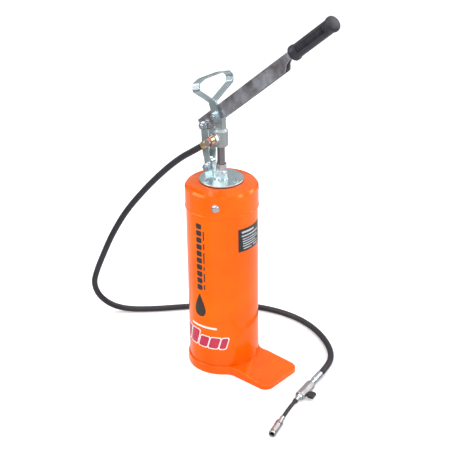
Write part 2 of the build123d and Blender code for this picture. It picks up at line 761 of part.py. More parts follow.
stem_line = along(eye_centre, hose_dir)
with BuildPart() as banjo_eye:
    with BuildSketch(across_y(0, outlet_z, -adapter_face - copper_washer)):
        Circle(eye_radius)
    extrude(amount=eye_width)
    with BuildSketch(stem_line):
        Polygon((0, 0), (0, eye_stem_radius), (stem_reach - seat_gap, eye_stem_radius),
                (stem_reach - seat_gap, 0), align=None)
    revolve(axis=Axis(eye_centre, hose_dir))
    with BuildSketch(across_y(0, outlet_z, 0)):
        Circle(eye_bore)
    extrude(amount=2 * eye_y, mode=Mode.SUBTRACT)
    with BuildSketch(stem_line):
        Polygon((0, 0), (0, eye_stem_bore), (2 * stem_reach, eye_stem_bore), (2 * stem_reach, 0), align=None)
    revolve(axis=Axis(eye_centre, hose_dir), mode=Mode.SUBTRACT)
save(banjo_eye.part, "banjo_eye")

with BuildPart() as head_ferrule:
    with BuildSketch(stem_line):
        Polygon((stem_reach, eye_stem_bore), (stem_reach, hose_radius - ferrule_wall / 2),
                (stem_reach + 1, hose_radius + ferrule_wall),
                (sleeve_reach - ferrule_wall / 2, hose_radius + ferrule_wall),
                (sleeve_reach, hose_radius + ferrule_wall / 2),
                (sleeve_reach, hose_radius + seat_gap), (stem_reach + sleeve_floor, hose_radius + seat_gap),
                (stem_reach + sleeve_floor, eye_stem_bore), align=None)
    revolve(axis=Axis(eye_centre, hose_dir))
save(head_ferrule.part, "head_ferrule")

# ================================ Cross bolts ====================================================
def bolt_solid(x, z, head_y, nut_side_y, tail):
    """A hexagon-head cross bolt, head on +Y; its shank runs past the nut by the tail."""
    with BuildPart() as piece:
        with BuildSketch(across_y(x, z, head_y)):
            RegularPolygon(bolt_hex / 2, 6, major_radius=False)
        extrude(amount=-bolt_head_height)
        with BuildSketch(across_y(x, z, head_y)):
            Circle(bolt_radius)
        extrude(amount=head_y + nut_side_y + nut_thickness + tail)
        chamfer(piece.edges().group_by(Axis.Y)[0], bolt_chamfer)
    return piece


def nut_solid(x, z, nut_side_y):
    """A hexagon nut on the -Y end of a cross bolt."""
    with BuildPart() as piece:
        with BuildSketch(across_y(x, z, -nut_side_y)):
            RegularPolygon(bolt_hex / 2, 6, major_radius=False)
            Circle(bolt_radius + seat_gap, mode=Mode.SUBTRACT)
        extrude(amount=nut_thickness)
    return piece


def washer_solids(x, z, low_faces, radius):
    """Plain washers on a cross bolt, each standing on the face whose distance toward -Y is given."""
    with BuildPart() as piece:
        for face in low_faces:
            with BuildSketch(across_y(x, z, -face)):
                Circle(radius)
                Circle(bolt_radius + shank_clear, mode=Mode.SUBTRACT)
            extrude(amount=washer_thickness)
    return piece


fulcrum_face = link_outer_y
save(bolt_solid(*lever_pivot, fulcrum_face + washer_thickness, fulcrum_face + washer_thickness, bolt_tail).part,
     "fulcrum_bolt")
save(nut_solid(*lever_pivot, fulcrum_face + washer_thickness).part, "fulcrum_nut")
save(washer_solids(*lever_pivot, (fulcrum_face, -fulcrum_face - washer_thickness), washer_radius).part,
     "fulcrum_washers")

far_face = lever_width / 2 + body_gap
save(bolt_solid(0, head_pivot_z, far_face + washer_thickness, tab_outer_y + washer_thickness, bolt_tail).part,
     "head_bolt")
save(nut_solid(0, head_pivot_z, tab_outer_y + washer_thickness).part, "head_nut")
save(washer_solids(0, head_pivot_z, (tab_outer_y, -far_face - washer_thickness), head_washer_radius).part,
     "head_washers")

lug_link_y = lug_thickness / 2 + body_gap
lug_face = lug_link_y + link_thickness + body_gap
save(bolt_solid(lug_pivot_x, lug_pivot_z, lug_face + washer_thickness, lug_face + washer_thickness, bolt_tail).part,
     "lug_bolt")
save(nut_solid(lug_pivot_x, lug_pivot_z, lug_face + washer_thickness).part, "lug_nut")
save(washer_solids(lug_pivot_x, lug_pivot_z, (lug_face, -lug_face - washer_thickness), washer_radius).part,
     "lug_washers")

# ================================ Links, lever and handle ========================================
joggle_start = 14.0
joggle_end = 30.0
for name, hand in (("near_link", -1), ("far_link", 1)):
    with BuildPart() as link:
        with BuildSketch(link_side):
            with Locations((link_length / 2, 0)):
                SlotCenterToCenter(link_length, link_width)
            with Locations((0, 0), (link_length, 0)):
                Circle(pin_hole, mode=Mode.SUBTRACT)
        extrude(amount=2 * lever_width, both=True)
        with BuildSketch(link_edge):
            low = [(-link_width, lug_link_y), (joggle_start, lug_link_y), (joggle_end, link_inner_y),
                   (link_length + link_width, link_inner_y)]
            top = [(x, y + link_thickness) for x, y in reversed(low)]
            Polygon(*[(x, -hand * y) for x, y in low + top], align=None)
        extrude(amount=link_width, both=True, mode=Mode.INTERSECT)
    save(link.part, name)

with BuildPart() as lever_channel:
    with BuildSketch(lever_side):
        Polygon((-lever_tail, -lever_below), (lever_body, -lever_below),
                (lever_body + lever_heel, -lever_below + lever_heel_rise),
                (lever_body + lever_throat, -lever_throat_low), (tang_start, tang_low), (tang_end, tang_low),
                (tang_end, lever_above), (-lever_tail, lever_above), align=None)
    extrude(amount=lever_width / 2, both=True)
    with BuildSketch(lever_plan.offset(-lever_below - 1)):
        half = lever_width / 2
        Polygon((-lever_tail, -half), (lever_body + 2, -half), (tang_start, -tang_half_width),
                (tang_end, -tang_half_width), (tang_end, tang_half_width), (tang_start, tang_half_width),
                (lever_body + 2, half), (-lever_tail, half), align=None)
    extrude(amount=lever_above + lever_below + 2, mode=Mode.INTERSECT)
    long_edges = lever_channel.edges().filter_by(
        lambda e: e.length > 60 and abs(e.center().Y) > tang_half_width / 2
        and lever_plan.to_local_coords(e.center()).Z > lever_above - 1)
    fillet(long_edges, lever_edge_round)
    with BuildSketch(lever_plan.offset(-lever_below - 1)):
        half = lever_width / 2 - lever_wall
        neck = tang_half_width - lever_wall
        Polygon((-lever_tail - 1, -half), (lever_body + 2, -half), (tang_start, -neck), (tang_end + 1, -neck),
                (tang_end + 1, neck), (tang_start, neck), (lever_body + 2, half), (-lever_tail - 1, half),
                align=None)
    extrude(amount=lever_above + lever_below + 1 - lever_wall, mode=Mode.SUBTRACT)
    with BuildSketch(lever_side):
        Circle(free_hole)
        with Locations((-pivot_spacing, 0)):
            Circle(pin_hole)
    extrude(amount=lever_width, both=True, mode=Mode.SUBTRACT)
save(lever_channel.part, "lever_channel")

grip_axis_start = lever_side.from_local_coords(Vector(grip_start, grip_rise, 0))
grip_line = Plane(origin=grip_axis_start, x_dir=lever_side.x_dir, z_dir=lever_side.z_dir)
grip_length = grip_end - grip_start
with BuildPart() as lever_grip:
    with BuildSketch(grip_line):
        Polygon((0, 0), (0, grip_collar_radius - 1), (1, grip_collar_radius),
                (grip_collar_length, grip_collar_radius), (grip_collar_length + grip_collar_cone, grip_radius),
                (grip_length - grip_collar_length - grip_collar_cone, grip_radius),
                (grip_length - grip_collar_length, grip_collar_radius),
                (grip_length - grip_end_round, grip_collar_radius),
                (grip_length, grip_collar_radius - grip_end_round), (grip_length, 0), align=None)
    revolve(axis=Axis(grip_axis_start, lever_side.x_dir))
    with BuildSketch(grip_line):
        Polygon((-1, tang_low - grip_rise - seat_gap),
                (tang_end - grip_start + 1, tang_low - grip_rise - seat_gap),
                (tang_end - grip_start + 1, lever_above - grip_rise + seat_gap),
                (-1, lever_above - grip_rise + seat_gap), align=None)
    extrude(amount=tang_half_width + seat_gap, both=True, mode=Mode.SUBTRACT)
save(lever_grip.part, "lever_grip")

inner_mid = -(tab_inner_y + strap_thickness / 2)
outer_mid = inner_mid - strap_thickness - ply_gap
strap_side = Plane(origin=(0, 0, head_pivot_z), x_dir=(0, 1, 0),
                   z_dir=(cos(radians(strap_lean)), 0, sin(radians(strap_lean))))
with BuildPart() as carry_handle:
    with BuildSketch(strap_side):
        with BuildLine() as strap_path:
            FilletPolyline((inner_mid, -strap_tab_drop), (inner_mid, strap_turn_rise),
                           *[(y, strap_turn_rise + rise) for y, rise in strap_loop],
                           (outer_mid, strap_turn_rise), (outer_mid, -strap_tab_drop), radius=strap_bend)
        trace(strap_path.line, strap_thickness)
    extrude(amount=strap_width / 2, both=True)
    with BuildSketch(across_y(0, head_pivot_z, 0)):
        Circle(bolt_radius + seat_gap)
    extrude(amount=2 * lever_width, mode=Mode.SUBTRACT)
save(carry_handle.part, "carry_handle")

# ================================ Delivery hose ==================================================
valve_dir = heading(valve_heading)
coupler_dir = heading(coupler_heading)
ferrule_start = Vector(205, 52, valve_line_z)
hose_end = ferrule_start + valve_dir * ferrule_depth


def corner_radii(points):
    """The largest arc that the two runs at each corner of a cord's route allow."""
    radii = []
    for before, corner, after in zip(points, points[1:], points[2:]):
        run_in = corner - before
        run_out = after - corner
        half_turn = radians(run_in.get_angle(run_out)) / 2
        radii.append(0.45 * min(run_in.length, run_out.length) / tan(half_turn))
    return radii


def cord_solid(points, radius):
    """A hose along straight runs joined by tangent arcs."""
    radii = corner_radii(points)
    with BuildPart() as tube:
        with BuildLine() as route:
            FilletPolyline(*points, radius=radii)
        with BuildSketch(Plane(origin=points[0], z_dir=points[1] - points[0])):
            Circle(radius)
        sweep(path=route.line)
    length = route.wires()[0].length
    expected = pi * radius ** 2 * length
    print("radii", [round(r) for r in radii], "smallest in diameters", round(min(radii) / (2 * radius), 1))
    print("length", round(length), "volume over section x length", round(tube.part.volume / expected, 4))
    return tube


hose_route = [
    hose_start, hose_start + hose_dir * 35,
    Vector(-84, -25, 429), Vector(-133, -25, 385), Vector(-180, -31, 334), Vector(-224, -39, 279),
    Vector(-260, -47, 218), Vector(-287, -52, 160), Vector(-310, -50, 116), Vector(-326, -46, 79),
    Vector(-323, -35, 44), Vector(-306, -14, 17), Vector(-278, 10, 6.4), Vector(-235, 45, 6.4),
    Vector(-188, 95, 6.4), Vector(-141, 142, 6.4), Vector(-90, 180, 6.4), Vector(-29, 203, 6.4),
    Vector(37, 207, 6.4), Vector(97, 190, 6.4), Vector(151, 157, 6.4), Vector(185, 120, 6.4),
    ferrule_start - valve_dir * 22, hose_end,
]
save(cord_solid(hose_route, hose_radius).part, "delivery_hose")

# ================================ Hand valve =====================================================
valve_line = along(ferrule_start, valve_dir)
valve_axis = Axis(ferrule_start, valve_dir)


def valve_station(distance):
    """A plane square to the valve's axis."""
    return Plane(origin=ferrule_start + valve_dir * distance, x_dir=(0, 0, 1), z_dir=valve_dir)


with BuildPart() as valve_ferrule:
    with BuildSketch(valve_line):
        Polygon((0, hose_radius + seat_gap), (0, hose_radius + ferrule_wall / 2),
                (ferrule_lip, hose_radius + ferrule_wall), (ferrule_depth, hose_radius + ferrule_wall),
                (ferrule_depth + ferrule_cone, valve_shell), (valve_start - seat_gap, valve_shell),
                (valve_start - seat_gap, valve_bore), (ferrule_depth + running_gap, valve_bore),
                (ferrule_depth + running_gap, hose_radius + seat_gap), align=None)
    revolve(axis=valve_axis)
save(valve_ferrule.part, "valve_ferrule")

stem_dir = heading(valve_heading + 90)
ball_centre = ferrule_start + valve_dir * ball_station
stem_axis_line = along(ball_centre, stem_dir)
chamber_half = ball_radius + chamber_clear
chamber_radius = ball_radius + 2 * seat_clear
seat_shell = chamber_radius - running_gap
knob_near = valve_width / 2 + knob_gap
knob_reach = knob_near + knob_height
stem_fit = stem_radius - running_gap
with BuildPart() as valve_body:
    with BuildSketch(valve_station(valve_start)):
        RegularPolygon(valve_width / 2, 8, major_radius=False, rotation=22.5)
    extrude(amount=valve_end - valve_start)
    chamfer(valve_body.faces().sort_by(SortBy.AREA)[:2].edges(), valve_chamfer)
    with BuildSketch(valve_station(valve_start)):
        Circle(valve_bore)
    extrude(amount=valve_end - valve_start, mode=Mode.SUBTRACT)
    with BuildSketch(valve_station(ball_station - chamber_half - chamber_clear)):
        Circle(chamber_radius)
    extrude(amount=2 * (chamber_half + chamber_clear), mode=Mode.SUBTRACT)
    with BuildSketch(stem_axis_line):
        Polygon((0, 0), (0, stem_radius), (knob_near, stem_radius), (knob_near, 0), align=None)
    revolve(axis=Axis(ball_centre, stem_dir), mode=Mode.SUBTRACT)
save(valve_body.part, "valve_body")

with BuildPart() as valve_ball:
    with Locations(Location(ball_centre)):
        Sphere(ball_radius)
    with BuildSketch(valve_station(ball_station - ball_radius - 1)):
        Circle(valve_bore)
    extrude(amount=2 * ball_radius + 2, mode=Mode.SUBTRACT)
save(valve_ball.part, "valve_ball")

with BuildPart() as valve_seats:
    for sign in (-1, 1):
        inner = ball_station + sign * (ball_radius + seat_clear) * cos(radians(seat_angle))
        outer = ball_station + sign * (chamber_half + chamber_clear - running_gap)
        inner_radius = (ball_radius + seat_clear) * sin(radians(seat_angle))
        with BuildSketch(valve_line):
            Polygon((inner, inner_radius), (outer, seat_outer_radius), (outer, seat_shell), (inner, seat_shell),
                    align=None)
        revolve(axis=valve_axis)
save(valve_seats.part, "valve_seats")

with BuildPart() as valve_stem:
    with BuildSketch(stem_axis_line):
        Polygon((0, 0), (0, stem_fit), (knob_near, stem_fit), (knob_near, stem_key_radius),
                (knob_reach - knob_web, stem_key_radius), (knob_reach - knob_web, 0), align=None)
    revolve(axis=Axis(ball_centre, stem_dir))
    with Locations(Location(ball_centre)):
        Sphere(ball_radius + seat_gap, mode=Mode.SUBTRACT)
save(valve_stem.part, "valve_stem")

knob_foot = Plane(origin=ball_centre + stem_dir * knob_near, x_dir=valve_dir, z_dir=stem_dir)
with BuildPart() as valve_knob:
    with BuildSketch(knob_foot):
        RectangleRounded(knob_foot_length, knob_width, knob_corner)
    with BuildSketch(knob_foot.offset(knob_foot_height)):
        RectangleRounded(knob_length, knob_width - knob_draw, knob_corner)
    loft()
    with BuildSketch(knob_foot.offset(knob_foot_height)):
        RectangleRounded(knob_length, knob_width - knob_draw, knob_corner)
    extrude(amount=knob_height - knob_foot_height, taper=5)
    with BuildSketch(knob_foot):
        Circle(stem_key_radius + seat_gap)
    extrude(amount=knob_height - knob_web + running_gap, mode=Mode.SUBTRACT)
    with BuildSketch(knob_foot.offset(knob_height)):
        Circle(knob_screw_radius + running_gap)
    extrude(amount=-knob_screw_depth, mode=Mode.SUBTRACT)
save(valve_knob.part, "valve_knob")

with BuildPart() as knob_screw:
    with BuildSketch(knob_foot.offset(knob_height - knob_screw_depth + running_gap)):
        Circle(knob_screw_radius)
    extrude(amount=knob_screw_height)
    with BuildSketch(knob_foot.offset(knob_height)):
        Rectangle(2 * knob_screw_radius, knob_slot_width)
    extrude(amount=-knob_screw_height, mode=Mode.SUBTRACT)
save(knob_screw.part, "knob_screw")

nipple_end = valve_end + nipple_length
nipple_hex_end = valve_end + nipple_hex_length
socket_floor = valve_end + nipple_socket
with BuildPart() as reducer_nipple:
    with BuildSketch(valve_station(valve_end)):
        RegularPolygon(nipple_hex / 2, 6, major_radius=False)
    extrude(amount=nipple_hex_length)
    with BuildSketch(valve_line):
        Polygon((nipple_hex_end, nipple_bore), (nipple_hex_end, nipple_shoulder),
                (nipple_end - nipple_lip, nipple_neck), (nipple_end - nipple_lip, nipple_radius),
                (nipple_end, nipple_radius), (nipple_end, whip_radius + seat_gap),
                (socket_floor, whip_radius + seat_gap), (socket_floor, nipple_bore), align=None)
    revolve(axis=valve_axis)
    with BuildSketch(valve_station(valve_end)):
        Circle(nipple_bore)
    extrude(amount=nipple_socket, mode=Mode.SUBTRACT)
save(reducer_nipple.part, "reducer_nipple")

with BuildPart() as whip_collar:
    with BuildSketch(valve_line):
        Polygon((nipple_end + seat_gap, whip_radius + seat_gap), (nipple_end + seat_gap, collar_radius),
                (nipple_end + collar_length / 2, collar_radius),
                (nipple_end + collar_length, whip_radius + body_gap),
                (nipple_end + collar_length, whip_radius + seat_gap), align=None)
    revolve(axis=valve_axis)
save(whip_collar.part, "whip_collar")

whip_start = ferrule_start + valve_dir * (socket_floor + running_gap)
whip_second = whip_start + valve_dir * 18
whip_route = [
    whip_start, whip_second, whip_second + Vector(4.1, -19.6, -0.8), whip_second + Vector(9.1, -39.0, -1.8),
    whip_second + Vector(9.1, -39.0, -1.8) + coupler_dir * 18,
]
save(cord_solid(whip_route, whip_radius).part, "whip_hose")

# ================================ Grease coupler =================================================
coupler_start = whip_route[-1]
coupler_line = along(coupler_start, coupler_dir)
coupler_axis = Axis(coupler_start, coupler_dir)
with BuildPart() as whip_ferrule:
    with BuildSketch(coupler_line):
        Polygon((-whip_ferrule_length, whip_radius + seat_gap), (-whip_ferrule_length, collar_radius),
                (coupler_face - seat_gap, whip_ferrule_radius), (coupler_face - seat_gap, line_bore),
                (running_gap, line_bore), (running_gap, whip_radius + seat_gap), align=None)
    revolve(axis=coupler_axis)
save(whip_ferrule.part, "whip_ferrule")

with BuildPart() as coupler_body:
    with BuildSketch(coupler_line):
        Polygon((coupler_face, line_bore), (coupler_face, whip_ferrule_radius),
                (coupler_face + coupler_cone, coupler_radius), (sleeve_start - body_gap, coupler_radius),
                (sleeve_start - body_gap, coupler_neck), (coupler_neck_end, coupler_neck),
                (coupler_neck_end, line_bore), align=None)
    revolve(axis=coupler_axis)
save(coupler_body.part, "coupler_body")

with BuildPart() as coupler_seal:
    with BuildSketch(coupler_line):
        Polygon((coupler_neck_end + running_gap, seal_bore), (coupler_neck_end + running_gap, jaw_radius),
                (seal_end - seal_lip, jaw_radius), (seal_end - seal_lip, seal_lip_radius),
                (seal_end, seal_lip_radius - body_gap), (seal_end, seal_bore), align=None)
    revolve(axis=coupler_axis)
save(coupler_seal.part, "coupler_seal")

with BuildPart() as coupler_jaws:
    with BuildSketch(coupler_line):
        Polygon((jaw_start, jaw_bore), (jaw_start, jaw_radius), (jaw_end - jaw_bevel, jaw_radius),
                (jaw_end, sleeve_mouth_radius), (jaw_end, jaw_bore), align=None)
    revolve(axis=coupler_axis)
    with BuildSketch(Plane(origin=coupler_start + coupler_dir * seal_end, x_dir=(0, 0, 1), z_dir=coupler_dir)):
        for turn in (0, 60, 120):
            Rectangle(3 * jaw_radius, jaw_slit, rotation=turn)
    extrude(amount=coupler_mouth - seal_end, mode=Mode.SUBTRACT)
save(coupler_jaws.part, "coupler_jaws")

with BuildPart() as coupler_sleeve:
    with BuildSketch(coupler_line):
        Polygon((sleeve_start, sleeve_bore), (sleeve_start, sleeve_radius - sleeve_edge),
                (sleeve_start + 1, sleeve_radius), (coupler_mouth - sleeve_lip, sleeve_radius),
                (coupler_mouth, sleeve_radius - 1), (coupler_mouth, sleeve_mouth_radius + sleeve_edge),
                (jaw_end + sleeve_edge, sleeve_mouth_radius + sleeve_edge),
                (jaw_end - 1, sleeve_bore), align=None)
    revolve(axis=coupler_axis)
save(coupler_sleeve.part, "coupler_sleeve")

print("lever pivot", [round(v, 3) for v in lever_pivot], "link", round(link_length, 3))
print("eye", eye_centre, "hose start", hose_start, "hose end", hose_end)
print("ball", ball_centre, "stem", stem_dir, "whip start", whip_start, "coupler start", coupler_start)
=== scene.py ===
from math import cos, pi, radians, sin

import bpy
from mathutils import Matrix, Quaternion, Vector


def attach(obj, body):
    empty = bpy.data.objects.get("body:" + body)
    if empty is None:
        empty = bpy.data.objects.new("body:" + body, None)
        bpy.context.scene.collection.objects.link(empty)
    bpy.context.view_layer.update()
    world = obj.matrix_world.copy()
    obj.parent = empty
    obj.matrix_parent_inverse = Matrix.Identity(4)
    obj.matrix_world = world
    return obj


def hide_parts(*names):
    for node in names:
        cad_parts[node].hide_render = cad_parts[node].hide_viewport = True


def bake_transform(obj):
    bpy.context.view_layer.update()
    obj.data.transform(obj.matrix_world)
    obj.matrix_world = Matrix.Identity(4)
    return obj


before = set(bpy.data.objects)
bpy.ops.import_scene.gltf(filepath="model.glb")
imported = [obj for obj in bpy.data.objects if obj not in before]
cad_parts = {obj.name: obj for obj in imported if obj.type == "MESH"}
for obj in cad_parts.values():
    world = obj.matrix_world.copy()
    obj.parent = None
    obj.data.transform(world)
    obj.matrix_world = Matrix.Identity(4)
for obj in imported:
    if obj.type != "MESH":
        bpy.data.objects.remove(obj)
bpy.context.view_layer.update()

# ---- Studio -------------------------------------------------------------------------------------
# A wide pale sweep of painted board under soft boxes, seen through a long lens from the front right.
# The room darkens at the horizon and low on the left, which gives the steel and the paint depth.
view_target = Vector((0.0041, 0.0034, 0.2997))
view_distance = 2.585
view_azimuth = radians(40.0)
view_elevation = radians(26.31)
view_roll = radians(-0.917)
view_back = Vector((sin(view_azimuth) * cos(view_elevation), -cos(view_azimuth) * cos(view_elevation),
                    sin(view_elevation)))
lens = bpy.data.cameras.new("lens")
lens.lens = 105.5
lens.sensor_width = 36.0
lens.clip_end = 60.0
camera = bpy.data.objects.new("camera", lens)
camera.location = view_target + view_back * view_distance
camera.rotation_mode = "QUATERNION"
camera.rotation_quaternion = (-view_back).to_track_quat("-Z", "Y") @ Quaternion((0, 0, 1), view_roll)
bpy.context.collection.objects.link(camera)
bpy.context.scene.camera = camera
bpy.context.scene.view_settings.view_transform = "Standard"

soft_boxes = {
    "left_box": ((-1.5, -1.5, 1.7), 1.5, 24.0),
    "right_box": ((2.3, 0.3, 1.5), 1.3, 20.0),
    "front_box": ((1.0, -2.6, 1.9), 1.2, 20.0),
    "back_box": ((1.1, 2.2, 1.9), 1.5, 24.0),
    "top_box": ((0.1, 0.0, 2.7), 3.0, 34.0),
}
for box_name, (box_place, box_side, box_watts) in soft_boxes.items():
    soft_box = bpy.data.lights.new(box_name, "AREA")
    soft_box.shape = "SQUARE"
    soft_box.size = box_side
    soft_box.energy = box_watts
    soft_box.color = (1.0, 0.985, 0.96)
    holder = bpy.data.objects.new(box_name, soft_box)
    holder.location = box_place
    holder.rotation_mode = "QUATERNION"
    holder.rotation_quaternion = (view_target - Vector(box_place)).to_track_quat("-Z", "Y")
    bpy.context.collection.objects.link(holder)

def add_node(tree, kind, inputs=None, **settings):
    """Adds a node, sets its options, and fills or wires its inputs by name or number."""
    node = tree.nodes.new(kind)
    for option, value in settings.items():
        setattr(node, option, value)
    for label, value in (inputs or {}).items():
        if isinstance(value, bpy.types.NodeSocket):
            tree.links.new(value, node.inputs[label])
        else:
            node.inputs[label].default_value = value
    return node


sky = bpy.data.worlds.new("room")
sky.use_nodes = True
sky_place = add_node(sky.node_tree, "ShaderNodeTexCoord")
sky_axes = add_node(sky.node_tree, "ShaderNodeSeparateXYZ", {"Vector": sky_place.outputs["Generated"]})
sky_bands = add_node(sky.node_tree, "ShaderNodeValToRGB", {
    "Fac": add_node(sky.node_tree, "ShaderNodeMapRange", {
        "Value": sky_axes.outputs["Z"], "From Min": -1.0, "From Max": 1.0}).outputs["Result"]})
for band_height, band_light in ((0.0, 0.75), (0.36, 0.7), (0.46, 0.12), (0.52, 0.12), (0.6, 0.5), (1.0, 0.6)):
    band = (sky_bands.color_ramp.elements[0] if band_height == 0.0
            else sky_bands.color_ramp.elements[-1] if band_height == 1.0
            else sky_bands.color_ramp.elements.new(band_height))
    band.color = (band_light * 0.97, band_light * 0.985, band_light, 1.0)
sky_corner = add_node(sky.node_tree, "ShaderNodeVectorMath", {
    0: sky_place.outputs["Generated"], 1: (-0.576, -0.687, -0.443)}, operation="DOT_PRODUCT")
sky_shade = add_node(sky.node_tree, "ShaderNodeMapRange", {
    "Value": sky_corner.outputs["Value"], "From Min": 0.72, "From Max": 0.9, "To Min": 1.0, "To Max": 0.5})
sky_tone = add_node(sky.node_tree, "ShaderNodeVectorMath", {
    0: sky_bands.outputs["Color"], "Scale": sky_shade.outputs["Result"]}, operation="SCALE")
sky.node_tree.links.new(sky_tone.outputs["Vector"], sky.node_tree.nodes["Background"].inputs["Color"])
bpy.context.scene.world = sky


def new_finish(name, shader_values):
    """A material with one Principled shader, its plain numbers set on the shader's own sockets."""
    finish = bpy.data.materials.new(name)
    finish.use_nodes = True
    shader = finish.node_tree.nodes["Principled BSDF"]
    for label, value in shader_values.items():
        shader.inputs[label].default_value = value
    return finish, finish.node_tree, shader


def new_effect(name, inputs, outputs):
    """An empty node group whose sockets are named here: colours, numbers and directions."""
    kinds = {tuple: "NodeSocketColor", float: "NodeSocketFloat"}
    effect = bpy.data.node_groups.new(name, "ShaderNodeTree")
    for label, value in inputs.items():
        socket = effect.interface.new_socket(label, in_out="INPUT", socket_type=kinds[type(value)])
        socket.default_value = value
    for label, kind in outputs.items():
        effect.interface.new_socket(label, in_out="OUTPUT", socket_type=kind)
    return effect, effect.nodes.new("NodeGroupInput"), effect.nodes.new("NodeGroupOutput")


def mesh_piece(name, points, faces, finish, sharp_angle=radians(38)):
    """A new mesh object with one finish; edges that turn more than the angle stay crisp."""
    mesh = bpy.data.meshes.new(name)
    mesh.from_pydata([tuple(p) for p in points], [], faces)
    mesh.materials.append(finish)
    mesh.shade_smooth()
    mesh.set_sharp_from_angle(angle=sharp_angle)
    piece = bpy.data.objects.new(name, mesh)
    bpy.context.collection.objects.link(piece)
    return piece


board, board_tree, board_shader = new_finish("painted_board", {
    "Specular IOR Level": 0.25, "Emission Color": (1.0, 1.0, 1.0, 1.0), "Emission Strength": 0.3})
board_spots = add_node(board_tree, "ShaderNodeTexCoord")
board_cloud = add_node(board_tree, "ShaderNodeTexNoise", {
    "Vector": board_spots.outputs["Object"], "Scale": 3.0, "Detail": 3.0})
board_tone = add_node(board_tree, "ShaderNodeMix", {
    0: board_cloud.outputs["Fac"], 6: (0.86, 0.865, 0.87, 1.0), 7: (0.9, 0.9, 0.9, 1.0)}, data_type="RGBA")
board_tree.links.new(board_tone.outputs[2], board_shader.inputs["Base Color"])
board_grip = add_node(board_tree, "ShaderNodeMapRange", {
    "Value": board_cloud.outputs["Fac"], "To Min": 0.55, "To Max": 0.7})
board_tree.links.new(board_grip.outputs["Result"], board_shader.inputs["Roughness"])
floor_half = 9.0
floor_corners = [(-floor_half, -floor_half, 0), (floor_half, -floor_half, 0),
                 (floor_half, floor_half, 0), (-floor_half, floor_half, 0)]
floor = mesh_piece("floor", floor_corners, [(0, 1, 2, 3)], board)

floor.visible_glossy = False

# ---- Foot ---------------------------------------------------------------------------------------
# A dish pressed from 2 mm sheet with a sloping pedal that the worker stands on to hold the pump.
# Spot-welded round the tank and sprayed with it in one coat of gloss orange enamel.
enamel_orange = (0.96, 0.148, 0.0, 1.0)
enamel_shade = (0.82, 0.1, 0.0, 1.0)

film, film_in, film_out = new_effect(
    "uneven_film",
    {"Tone": enamel_orange, "Other Tone": enamel_shade, "Drift Scale": 9.0, "Skin Scale": 420.0,
     "Gloss": 0.2, "Haze": 0.3},
    {"Tone": "NodeSocketColor", "Roughness": "NodeSocketFloat", "Height": "NodeSocketFloat"})
film_place = add_node(film, "ShaderNodeTexCoord")
film_drift = add_node(film, "ShaderNodeTexNoise", {
    "Vector": film_place.outputs["Object"], "Scale": film_in.outputs["Drift Scale"], "Detail": 4.0})
film_spread = add_node(film, "ShaderNodeMapRange", {
    "Value": film_drift.outputs["Fac"], "From Min": 0.32, "From Max": 0.68})
film_tone = add_node(film, "ShaderNodeMix", {
    0: film_spread.outputs["Result"], 6: film_in.outputs["Tone"], 7: film_in.outputs["Other Tone"]},
    data_type="RGBA")
film_skin = add_node(film, "ShaderNodeTexNoise", {
    "Vector": film_place.outputs["Object"], "Scale": film_in.outputs["Skin Scale"], "Detail": 2.0})
film_rough = add_node(film, "ShaderNodeMapRange", {
    "Value": film_spread.outputs["Result"], "To Min": film_in.outputs["Gloss"],
    "To Max": film_in.outputs["Haze"]})
film.links.new(film_tone.outputs[2], film_out.inputs["Tone"])
film.links.new(film_rough.outputs["Result"], film_out.inputs["Roughness"])
film.links.new(film_skin.outputs["Fac"], film_out.inputs["Height"])

# Edge mask from the Bevel normal, broken up by noise; the finishes use it to paint a lighter edge highlight.
eased, eased_in, eased_out = new_effect(
    "eased_edge", {"Radius": 0.0006, "Break Scale": 160.0},
    {"Normal": "NodeSocketVector", "Edge": "NodeSocketFloat"})
eased_round = add_node(eased, "ShaderNodeBevel", {"Radius": eased_in.outputs["Radius"]}, samples=6)
eased_flat = add_node(eased, "ShaderNodeNewGeometry")
eased_turn = add_node(eased, "ShaderNodeVectorMath", {
    0: eased_round.outputs["Normal"], 1: eased_flat.outputs["Normal"]}, operation="DOT_PRODUCT")
eased_mask = add_node(eased, "ShaderNodeMapRange", {
    "Value": eased_turn.outputs["Value"], "From Min": 0.995, "From Max": 0.8})
eased_place = add_node(eased, "ShaderNodeTexCoord")
eased_break = add_node(eased, "ShaderNodeTexNoise", {
    "Vector": eased_place.outputs["Object"], "Scale": eased_in.outputs["Break Scale"], "Detail": 3.0})
eased_edge = add_node(eased, "ShaderNodeMath", {
    0: eased_mask.outputs["Result"], 1: eased_break.outputs["Fac"]}, operation="MULTIPLY")
eased.links.new(eased_round.outputs["Normal"], eased_out.inputs["Normal"])
eased.links.new(eased_edge.outputs["Value"], eased_out.inputs["Edge"])


